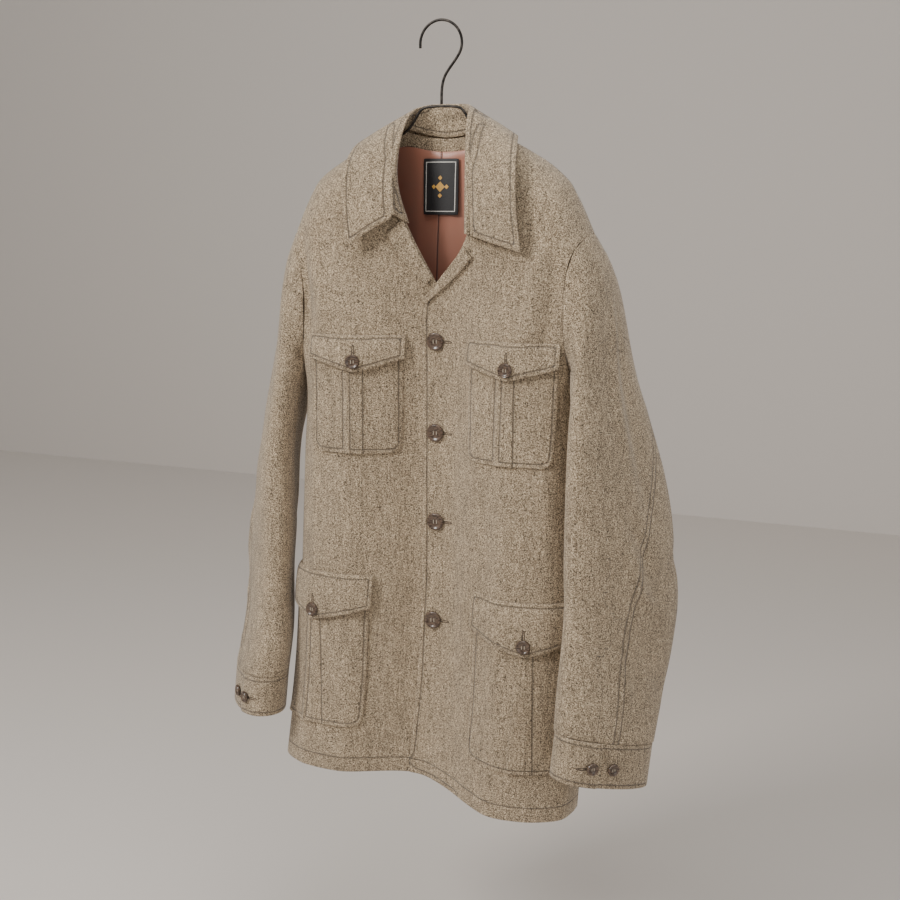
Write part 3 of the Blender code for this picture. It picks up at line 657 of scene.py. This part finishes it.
def close_head(piece, border, armhole):
    """Draws the top edge of a sleeve to the seam of the armhole."""
    target, rim, pulls = KDTree(len(armhole)), [], []
    for k, spot in enumerate(armhole):
        target.insert(spot[:3], k)
    target.balance()
    for spot in border:
        place = Vector(spot[:3])
        near, _, far = target.find(place)
        if far < HEAD_CATCH:
            rim.append(place)
            pulls.append((near - place) * max(0.0, 1 - SEAM_GAP / max(far, 1e-6)))
    tree = KDTree(len(rim))
    for k, place in enumerate(rim):
        tree.insert(place, k)
    tree.balance()
    points = vertex_array(piece.data)
    for k, point in enumerate(points):
        near = tree.find_n(point, HEAD_NEIGHBOURS)
        share = float(ease(1 - near[0][2] / HEAD_REACH))
        if share > 0:
            pull = sum((pulls[n[1]] for n in near), Vector()) / len(near)
            points[k] += np.array(pull) * share
    piece.data.vertices.foreach_set("co", points.ravel())


# %% Cut table
ALL_ROUND = ((0.0052, None),)
BODY = ((0.0060, front_edge), (0.0190, at_hem))
SEAM_INSET = 0.003
# Each row: node, flat width, flat length, move, lines of stitching, what it rests on.
CLOTH = [
    ("front_left", 0.300, 0.800, front_move, BODY, "hanger_bar"),
    ("front_right", 0.300, 0.800, front_move, BODY, "hanger_bar"),
    ("back", 0.500, 0.830, back_move, ((0.0190, at_hem),), "hanger_bar"),
    ("collar", 0.500, 0.110, still, ((0.0060, None),), "back"),
    ("facing_left", 0.030, 0.090, front_move, (), "front_left"),
    ("facing_right", 0.030, 0.090, front_move, (), "front_right"),
]
for name, side, move in (("left", 1, left_sleeve_move), ("right", -1, right_sleeve_move)):
    seam = (sleeve_seam(SEAM_INSET, side), sleeve_seam(-SEAM_INSET, side))
    CLOTH += [
        ("upper_sleeve_" + name, 0.250, 0.560, move, seam, "front_" + name),
        ("under_sleeve_" + name, 0.160, 0.520, move, (), "back"),
        ("cuff_" + name, 0.290, 0.052, still, ((0.0052, level_edge),), "upper_sleeve_" + name),
        ("chest_pocket_" + name, 0.120, 0.135, front_move,
         (ALL_ROUND[0], pleat_line("chest_pocket_" + name)), "front_" + name),
        ("chest_flap_" + name, 0.126, 0.048, flap_move, ALL_ROUND, "front_" + name),
        ("hip_pocket_" + name, 0.150, 0.190, front_move,
         (ALL_ROUND[0], pleat_line("hip_pocket_" + name)), "front_" + name),
        ("hip_flap_" + name, 0.154, 0.064, flap_move, ALL_ROUND, "front_" + name),
    ]
print("cloth pieces", len(CLOTH))

# %% Make the cloth
pieces, armhole = {}, []
for node, width, length, move, lines, rest in CLOTH:
    piece, border = refined(node)
    stitched(piece, border, lines)
    side = -1 if node.endswith("right") else 1
    if node in ("front_left", "front_right", "back"):
        armhole += [p for p in border if armhole_edge(p)]
    if "sleeve" in node:
        close_head(piece, border, [p for p in armhole if p[0] * side > 0])
    moved_by(piece, move)
    finish_piece(piece, [node], TWEED_CLOTH)
    pieces[node] = piece
    print(node, "area", round(one_skin(piece), 4), "of", round(width * length, 4))

# %% [markdown]
# ## Lining and label
# The back is lined with red-brown satin, pleated down the middle for ease; the
# pleat's fold is a dent with a painted line of shade. The woven label is bare but
# for a pale border and five plain gold diamonds. Both could be flat cards, but
# satin needs soft ripples to catch the light, and yarn shapes cut in a thin sheet
# on the label stand off it as woven ones do.

# %% Lining
LINING_FOLDS = (
    (0.028, -0.140, 0.040, -0.420, 0.007, -0.0018),
    (-0.034, -0.140, -0.048, -0.420, 0.008, -0.0018),
    (0.060, -0.160, 0.075, -0.420, 0.009, -0.0020),
    (-0.012, -0.230, -0.006, -0.600, 0.006, -0.0016),
    (0.006, -0.135, 0.004, -0.420, 0.0022, -0.0026),
)


# The pleat leans: x at its top, height of the top, and how far it leans as it falls.
PLEAT_X, PLEAT_TOP, PLEAT_LEAN = -0.005, -0.14, 0.006 / 0.16
LINING_EDGE_ANGLE = math.radians(70)


def lining_move(points):
    moved = back_move(points)
    height = fold_field(LINING_FOLDS, points[:, 0], points[:, 2])
    moved[:, 1] += np.minimum(height, 0.0)
    return moved


def lining_pleat(points):
    """Signed distance to the fold of the pleat, where the satin gets painted shade."""
    return points[:, 0] - PLEAT_X + PLEAT_LEAN * (PLEAT_TOP - points[:, 2])


lining, _ = refined("lining_back", edge_angle=LINING_EDGE_ANGLE)
stitched(lining, None, [lining_pleat])
moved_by(lining, lining_move)
finish_piece(lining, ["lining_back"], SATIN)
pieces["lining_back"] = lining
print("lining area", round(one_skin(lining), 4))


# %% Label
LABEL_YARN = (700.0, 700.0, 2600.0)


def label_material(name, colour, roughness):
    surface, tree, shader = new_material(name)
    place = add(tree, "ShaderNodeTexCoord").outputs["Object"]
    rows = noise(tree, place, 1.0, 1.0, LABEL_YARN)
    pale = tuple(min(1.0, c * 1.5 + 0.004) for c in colour[:3]) + (1,)
    link(tree, mixed(tree, ranged(tree, rows, *NOISE_SPAN), colour, pale),
         shader.inputs["Base Color"])
    shader.inputs["Roughness"].default_value = roughness
    shader.inputs["Sheen Weight"].default_value = 0.1
    bumped(tree, shader, rows, 0.0002)
    return surface


LABEL_BLACK = label_material("label_black", (0.012, 0.011, 0.012, 1), 0.55)
LABEL_PALE = label_material("label_pale", (0.62, 0.60, 0.56, 1), 0.6)
LABEL_GOLD = label_material("label_gold", (0.55, 0.30, 0.055, 1), 0.45)

label, _ = refined("label")
moved_by(label, back_move)
finish_piece(label, ["label"], LABEL_BLACK)
pieces["label"] = label
label_points = vertex_array(label.data)
label_low, label_high = label_points.min(axis=0), label_points.max(axis=0)
label_middle = (label_low + label_high) / 2
print("label", [round(v, 4) for v in label_middle])


# %% Yarn shapes on the label
YARN_LIFT = 0.0001
YARN_THICK = 0.0002
RAY_START = 0.02
LABEL_MARGIN = 0.0042
BORDER_WIDTH = 0.0009
# Half width, x and height from the middle of each diamond.
DIAMONDS = ((0.0062, 0, 0), (0.0028, 0.0085, 0), (0.0028, -0.0085, 0),
            (0.0028, 0, 0.0105), (0.0028, 0, -0.0105))


def surface_of(piece):
    return BVHTree.FromPolygons([v.co for v in piece.data.vertices],
                                [tuple(face.vertices) for face in piece.data.polygons])


def woven_shape(name, outlines, surface, tree):
    """Flat yarn shapes on the label, from closed outlines in x and z."""
    mesh = bmesh.new()
    for outline in outlines:
        corners = [mesh.verts.new((x, label_low[1] - RAY_START, z)) for x, z in outline]
        mesh.faces.new(corners)
    bmesh.ops.subdivide_edges(mesh, edges=mesh.edges, cuts=3, use_grid_fill=True)
    for vertex in mesh.verts:
        hit = tree.ray_cast(vertex.co, Vector((0, 1, 0)))
        if hit[0] is not None:
            vertex.co = hit[0] - Vector((0, YARN_LIFT, 0))
    lifted = bmesh.ops.extrude_face_region(mesh, geom=list(mesh.faces))
    for item in lifted["geom"]:
        if isinstance(item, bmesh.types.BMVert):
            item.co.y -= YARN_THICK
    bmesh.ops.recalc_face_normals(mesh, faces=mesh.faces)
    data = bpy.data.meshes.new(name)
    mesh.to_mesh(data)
    mesh.free()
    piece = bpy.data.objects.new(name, data)
    bpy.context.collection.objects.link(piece)
    data.materials.append(surface)
    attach(piece, "root")
    return piece


def rectangle(x, z, width, height):
    return [(x - width / 2, z - height / 2), (x + width / 2, z - height / 2),
            (x + width / 2, z + height / 2), (x - width / 2, z + height / 2)]


def diamond(x, z, half):
    return [(x - half, z), (x, z - half), (x + half, z), (x, z + half)]


label_tree = surface_of(label)
mid_x, mid_z = label_middle[0], label_middle[2]
half_x = (label_high[0] - label_low[0]) / 2 - LABEL_MARGIN
half_z = (label_high[2] - label_low[2]) / 2 - LABEL_MARGIN
border_lines = [rectangle(mid_x + s * half_x, mid_z, BORDER_WIDTH, 2 * half_z) for s in (1, -1)]
border_lines += [rectangle(mid_x, mid_z + s * half_z, 2 * half_x + BORDER_WIDTH, BORDER_WIDTH)
                 for s in (1, -1)]
woven_shape("label_border", border_lines, LABEL_PALE, label_tree)
diamonds = [diamond(mid_x + x, mid_z + z, half) for half, x, z in DIAMONDS]
woven_shape("label_diamonds", diamonds, LABEL_GOLD, label_tree)
print("border lines", len(border_lines), "diamonds", len(diamonds))

# %% [markdown]
# ## Buttons
# The buttons are turned from horn: a rim round a shallow dish with four holes,
# sewn on with brown thread. A button could be a plain disc with painted dots,
# but the rim's shine and the holes show. The profile is spun and the holes are
# bored once, and the button is then copied to its places.

# %% One button
# Share of the radius, and height in metres.
BUTTON_PROFILE = ((0.0, 0.0016), (0.50, 0.0017), (0.66, 0.0022), (0.76, 0.0031), (0.86, 0.0033),
                  (0.95, 0.0026), (1.0, 0.0014), (0.96, 0.0004), (0.86, 0.0), (0.0, 0.0))
# The place and half width of a hole are shares of the radius.
HOLE_PLACE = 0.26
HOLE_WIDTH = 0.085
BORE_MIDDLE, BORE_DEPTH = 0.001, 0.01
SPIN_STEPS = 48


HORN_DARK = (0.050, 0.030, 0.019, 1)
HORN_PALE = (0.135, 0.085, 0.055, 1)
THREAD_DARK = (0.34, 0.28, 0.21, 1)
THREAD_PALE = (0.62, 0.54, 0.43, 1)


def horn_material():
    surface, tree, shader = new_material("horn")
    place = add(tree, "ShaderNodeTexCoord").outputs["Object"]
    cloud = noise(tree, place, 260.0, 4.0, (1.0, 1.0, 2.5))
    colour = mixed(tree, ranged(tree, cloud, 0.35, 0.65), HORN_DARK, HORN_PALE)
    link(tree, colour, shader.inputs["Base Color"])
    link(tree, ranged(tree, cloud, *NOISE_SPAN, 0.24, 0.40), shader.inputs["Roughness"])
    shader.inputs["Coat Weight"].default_value = 0.35
    shader.inputs["Coat Roughness"].default_value = 0.15
    bumped(tree, shader, cloud, 0.0001, 0.4)
    return surface


def thread_material():
    surface, tree, shader = new_material("thread")
    place = add(tree, "ShaderNodeTexCoord").outputs["Object"]
    twist = noise(tree, place, 2400.0, 1.0)
    link(tree, mixed(tree, twist, THREAD_DARK, THREAD_PALE), shader.inputs["Base Color"])
    shader.inputs["Roughness"].default_value = 0.75
    bumped(tree, shader, twist, 0.0002)
    return surface


HORN = horn_material()
THREAD = thread_material()


def button_mesh():
    """Button with a radius of one and its height in metres."""
    mesh = bmesh.new()
    corners = [mesh.verts.new((r, 0, h)) for r, h in BUTTON_PROFILE]
    edges = [mesh.edges.new(pair) for pair in zip(corners, corners[1:])]
    bmesh.ops.spin(mesh, geom=corners + edges, cent=(0, 0, 0), axis=(0, 0, 1),
                   angle=2 * math.pi, steps=SPIN_STEPS)
    bmesh.ops.remove_doubles(mesh, verts=mesh.verts, dist=1e-6)
    bmesh.ops.recalc_face_normals(mesh, faces=mesh.faces)
    data = bpy.data.meshes.new("button_turned")
    mesh.to_mesh(data)
    mesh.free()
    return data


def holes_mesh():
    mesh = bmesh.new()
    for k in range(4):
        turn = math.pi / 4 + k * math.pi / 2
        place = Matrix.Translation((HOLE_PLACE * math.cos(turn), HOLE_PLACE * math.sin(turn),
                                    BORE_MIDDLE))
        bmesh.ops.create_cone(mesh, cap_ends=True, segments=16, radius1=HOLE_WIDTH,
                              radius2=HOLE_WIDTH, depth=BORE_DEPTH, matrix=place)
    data = bpy.data.meshes.new("button_holes")
    mesh.to_mesh(data)
    mesh.free()
    return data


turned = bpy.data.objects.new("button_turned", button_mesh())
holes = bpy.data.objects.new("button_holes", holes_mesh())
for item in (turned, holes):
    bpy.context.collection.objects.link(item)
bore = turned.modifiers.new("bore", "BOOLEAN")
bore.operation, bore.object, bore.solver = "DIFFERENCE", holes, "EXACT"
graph = bpy.context.evaluated_depsgraph_get()
BUTTON = bpy.data.meshes.new_from_object(turned.evaluated_get(graph))
for item in (turned, holes):
    bpy.data.objects.remove(item, do_unlink=True)
print("button faces", len(BUTTON.polygons))


# %% Places of the buttons
THREAD_RADIUS = 0.0003
THREAD_APART = 0.0005
THREAD_HEIGHT = 0.00195
THREAD_OVERLAP = 1.15
RIM_ANGLE = math.radians(50)


def button_frame(node, outward):
    """Centre of the back, outward axis and radius of a CAD button."""
    points = vertex_array(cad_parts[node].data)
    middle = points.mean(axis=0)
    _, _, axes = np.linalg.svd(points - middle)
    axis = axes[2]
    if np.dot(axis, outward) < 0:
        axis = -axis
    heights = (points - middle) @ axis
    flat = points - middle - np.outer(heights, axis)
    return middle + axis * heights.min(), axis, np.linalg.norm(flat, axis=1).max()


def upright(axis):
    """Matrix whose third column is the axis and whose second points up the cloth."""
    z = Vector(axis).normalized()
    y = (Vector((0, 0, 1)) - z * z.z).normalized()
    x = y.cross(z)
    return Matrix((x, y, z)).transposed().to_4x4()


def sewn_button(node, outward, move):
    base, axis, radius = button_frame(node, outward)
    shift = move(np.array([base]))[0]
    place = Matrix.Translation(Vector(base + shift)) @ upright(axis)
    mesh = bmesh.new()
    mesh.from_mesh(BUTTON)
    for vertex in mesh.verts:
        vertex.co.x *= radius
        vertex.co.y *= radius
    horn_count = len(mesh.faces)
    offset = HOLE_PLACE * radius * math.cos(math.pi / 4)
    for side in (1, -1):
        for aside in (-THREAD_APART / 2, THREAD_APART / 2):
            bar = Matrix.Translation((side * offset + aside, 0, THREAD_HEIGHT))
            bar = bar @ Matrix.Rotation(math.pi / 2, 4, "X")
            bmesh.ops.create_cone(mesh, cap_ends=True, segments=8, radius1=THREAD_RADIUS,
                                  radius2=THREAD_RADIUS, depth=2 * offset * THREAD_OVERLAP,
                                  matrix=bar)
    for k, face in enumerate(mesh.faces):
        face.material_index = 0 if k < horn_count else 1
        face.smooth = True
    bmesh.ops.transform(mesh, matrix=place, verts=mesh.verts)
    data = bpy.data.meshes.new(node + "_horn")
    mesh.to_mesh(data)
    mesh.free()
    data.set_sharp_from_angle(angle=RIM_ANGLE)
    piece = bpy.data.objects.new(node + "_horn", data)
    bpy.context.collection.objects.link(piece)
    data.materials.append(HORN)
    data.materials.append(THREAD)
    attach(piece, "root")
    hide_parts(node)
    return base + shift, axis, radius


CUFF_MIDDLES = {name: vertex_array(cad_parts["cuff_" + name].data).mean(axis=0)
                for name in ("left", "right")}
button_places = {}
for node in sorted(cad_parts):
    if "button" not in node:
        continue
    if node.startswith("cuff"):
        name = node.split("_")[2]
        centre = vertex_array(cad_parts[node].data).mean(axis=0)
        button_places[node] = sewn_button(node, centre - CUFF_MIDDLES[name], still)
    else:
        move = front_move if node.startswith("front") else flap_move
        button_places[node] = sewn_button(node, (0, -1, 0), move)
print("buttons", len(button_places))


# %% [markdown]
# ## Buttonholes
# A buttonhole is a slit worked round with close stitches of dark thread. It could
# be a groove in the material, but its raised ring catches the light. A ring of
# thread follows a long rounded outline, dropped onto the cloth as it goes.

# %% One buttonhole
RING_STEPS = 44
RING_SIDES = 8
HALF_SLIT = 0.0011
YARN_RADIUS = 0.0005
STITCH_SWELL = 0.25
# Powers below one square off the ends and sides of the outline.
END_POWER, SIDE_POWER = 0.45, 0.8
DROP = 0.012


def squared(value, power):
    return math.copysign(abs(value) ** power, value)


def buttonhole(name, start, axis, along, length, cloth):
    """Ring of thread laid on the cloth, from start and along for its length."""
    tree = surface_of(cloth)
    axis, along = Vector(axis).normalized(), Vector(along)
    along = (along - axis * along.dot(axis)).normalized()
    across = axis.cross(along)
    mesh = bmesh.new()
    rings = []
    for k in range(RING_STEPS):
        turn = 2 * math.pi * k / RING_STEPS
        reach = (squared(math.cos(turn), END_POWER) + 1) * length / 2
        aside = squared(math.sin(turn), SIDE_POWER) * HALF_SLIT
        spot = Vector(start) + along * reach + across * aside
        hit = tree.ray_cast(spot + axis * DROP, -axis)
        spot = hit[0] if hit[0] is not None else spot
        outward = (along * math.cos(turn) * 0.4 + across * math.sin(turn)).normalized()
        radius = YARN_RADIUS * (1 + STITCH_SWELL * (k % 2))
        angles = [2 * math.pi * j / RING_SIDES for j in range(RING_SIDES)]
        rings.append([mesh.verts.new(spot + (outward * math.cos(a) + axis * math.sin(a)) * radius)
                      for a in angles])
    for k, first in enumerate(rings):
        second = rings[(k + 1) % RING_STEPS]
        for j in range(RING_SIDES):
            n = (j + 1) % RING_SIDES
            mesh.faces.new((first[j], second[j], second[n], first[n]))
    bmesh.ops.recalc_face_normals(mesh, faces=mesh.faces)
    for face in mesh.faces:
        face.smooth = True
    data = bpy.data.meshes.new(name)
    mesh.to_mesh(data)
    mesh.free()
    piece = bpy.data.objects.new(name, data)
    bpy.context.collection.objects.link(piece)
    data.materials.append(BUTTONHOLE)
    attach(piece, "root")


def buttonhole_material():
    surface, tree, shader = new_material("buttonhole_thread")
    place = add(tree, "ShaderNodeTexCoord").outputs["Object"]
    twist = noise(tree, place, 1800.0, 1.0)
    link(tree, mixed(tree, twist, (0.045, 0.032, 0.022, 1), (0.13, 0.095, 0.068, 1)),
         shader.inputs["Base Color"])
    shader.inputs["Roughness"].default_value = 0.85
    bumped(tree, shader, twist, 0.0003)
    return surface


BUTTONHOLE = buttonhole_material()

# %% Work the buttonholes
# How far each hole starts from its button's middle, and how long it is.
FRONT_START, FRONT_LENGTH = 0.004, 0.0185
CUFF_START, CUFF_LENGTH = 0.003, 0.015
FLAP_START, FLAP_LENGTH = 0.004, 0.016
for node, (base, axis, radius) in button_places.items():
    if node.startswith("front"):
        buttonhole(node + "_hole", base + np.array([FRONT_START, 0, 0]), axis, (1, 0, 0),
                   FRONT_LENGTH, pieces["front_left"])
    elif node.startswith("cuff") and node.endswith("_1"):
        tangent = np.cross(axis, (0, 0, 1))
        tangent *= -math.copysign(1, tangent[1])
        buttonhole(node + "_hole", base + tangent * CUFF_START, axis, tangent, CUFF_LENGTH,
                   pieces["cuff_" + node.split("_")[2]])
    elif not node.startswith("cuff"):
        buttonhole(node + "_hole", base + np.array([0, 0, FLAP_START]), axis, (0, 0, 1),
                   FLAP_LENGTH, pieces[node.replace("button", "flap")])

# %% [markdown]
# ## Hanger
# A bent wire hanger with a dark coating carries the jacket at the neck and
# shoulders. It could be swept anew along a curve; a finer copy of the solid is
# as round and stays on the mount.

# %% Hanger metal
WIRE_DARK = (0.030, 0.027, 0.025, 1)
WIRE_WORN = (0.085, 0.075, 0.066, 1)


def metal_material():
    surface, tree, shader = new_material("dark_wire")
    place = add(tree, "ShaderNodeTexCoord").outputs["Object"]
    wear = noise(tree, place, 180.0, 4.0)
    link(tree, mixed(tree, ranged(tree, wear, 0.4, 0.7), WIRE_DARK, WIRE_WORN),
         shader.inputs["Base Color"])
    link(tree, ranged(tree, wear, *NOISE_SPAN, 0.28, 0.5), shader.inputs["Roughness"])
    shader.inputs["Metallic"].default_value = 0.85
    bumped(tree, shader, wear, 0.0001, 0.4)
    return surface


WIRE_METAL = metal_material()
for node in ("hanger_hook", "hanger_bar"):
    piece, _ = refined(node, hold=0.6)
    finish_piece(piece, [node], WIRE_METAL)
    pieces[node] = piece
print("hanger", [len(pieces[n].data.polygons) for n in ("hanger_hook", "hanger_bar")])

# %% [markdown]
# ## Cut
# Before it was made up, each sewn piece was a flat cut of cloth. Its width and
# length are listed in the cut table for what shows of it, with the piece it hangs
# on. They could be read off the model, but the maker's cut is flat and the model
# is not. The area is measured from one side of the finished piece.

# %% Count the cloth
print("sheets", len(CLOTH) + 2)

# %% [markdown]
# ## Studio
# The jacket hangs in front of a plain pale wall, over a plain pale floor. A single
# lamp would leave the tweed flat or harsh. A broad key from the left rakes across
# the weave, and a fill, a top light and a weak rear one open the shadows.


# %% Floor and backdrop
PAINT = (0.74, 0.69, 0.64, 1)
PLANE_SIZE = 8.0
FLOOR_HEIGHT = -1.25
BACKDROP_PLACE = 3.0


def plain_plane(name, place, turn):
    mesh = bmesh.new()
    bmesh.ops.create_grid(mesh, x_segments=1, y_segments=1, size=PLANE_SIZE)
    bmesh.ops.rotate(mesh, cent=(0, 0, 0), matrix=Matrix.Rotation(turn, 3, "X"),
                     verts=mesh.verts)
    bmesh.ops.translate(mesh, vec=place, verts=mesh.verts)
    data = bpy.data.meshes.new(name)
    mesh.to_mesh(data)
    mesh.free()
    piece = bpy.data.objects.new(name, data)
    bpy.context.collection.objects.link(piece)
    surface, tree, shader = new_material(name + "_paint")
    shader.inputs["Base Color"].default_value = PAINT
    shader.inputs["Roughness"].default_value = 0.9
    data.materials.append(surface)
    return piece


floor = plain_plane("floor", (0, 0, FLOOR_HEIGHT), 0.0)
backdrop = plain_plane("backdrop", (0, BACKDROP_PLACE, 0), math.pi / 2)
print("stage", floor.name, backdrop.name)


# %% Light
# Each row: name, place, where it points, size, watts and colour.
LIGHTS = (
    ("key", (-1.45, -2.1, 1.1), (0, 0, -0.45), 0.8, 64, (1.0, 0.975, 0.94)),
    ("fill", (2.3, -1.6, -0.1), (0, 0, -0.5), 1.8, 14, (0.95, 0.97, 1.0)),
    ("top", (0.2, -0.7, 1.6), (0, 0, -0.4), 1.4, 20, (1.0, 0.99, 0.97)),
    ("rear", (0.9, 0.45, 0.5), (0, 0.05, -0.5), 0.7, 3, (1.0, 0.98, 0.95)),
)
ROOM_COLOUR = (0.80, 0.79, 0.78, 1)
ROOM_STRENGTH = 0.45


def area_light(name, place, target, size, power, colour):
    data = bpy.data.lights.new(name, "AREA")
    data.size, data.energy, data.color = size, power, colour
    lamp = bpy.data.objects.new(name, data)
    bpy.context.collection.objects.link(lamp)
    lamp.location = place
    lamp.rotation_euler = (Vector(target) - Vector(place)).to_track_quat("-Z", "Y").to_euler()


for row in LIGHTS:
    area_light(*row)
world = bpy.data.worlds.new("soft_room")
bpy.context.scene.world = world
world.use_nodes = True
room = world.node_tree.nodes["Background"].inputs
room["Color"].default_value = ROOM_COLOUR
room["Strength"].default_value = ROOM_STRENGTH
print("lights", len(LIGHTS))

# %% [markdown]
# ## Camera
# The jacket is seen from a little to the wearer's left, from about the height of
# its collar and looking down a little. The camera could be aimed at a point by a
# constraint. Turn, distance, pitch and roll are set one by one instead, because
# the picture's middle is not on the jacket's own middle line.

# %% Camera
CAMERA_TURN = math.radians(24.0)
CAMERA_FAR = 1.699
CAMERA_HEIGHT = -0.206
CAMERA_PITCH = math.radians(10.12)
CAMERA_ROLL = math.radians(0.3)
# The aim passes this much to the side of the middle line, as a share of the distance.
AIM_ASIDE = 1 / 140
camera = bpy.data.objects.new("camera", bpy.data.cameras.new("camera"))
bpy.context.collection.objects.link(camera)
camera.data.lens = 56.0
camera.data.sensor_width = 36.0
heading = CAMERA_TURN - math.atan(AIM_ASIDE)
level_reach = math.cos(CAMERA_PITCH)
ahead = Vector((-math.sin(heading) * level_reach, math.cos(heading) * level_reach,
                -math.sin(CAMERA_PITCH)))
roll = Matrix.Rotation(CAMERA_ROLL, 3, "Z").to_quaternion()
camera.rotation_mode = "QUATERNION"
camera.rotation_quaternion = ahead.to_track_quat("-Z", "Y") @ roll
camera.location = (CAMERA_FAR * math.sin(CAMERA_TURN), -CAMERA_FAR * math.cos(CAMERA_TURN),
                   CAMERA_HEIGHT)
bpy.context.scene.camera = camera
print("camera", [round(v, 3) for v in camera.location])
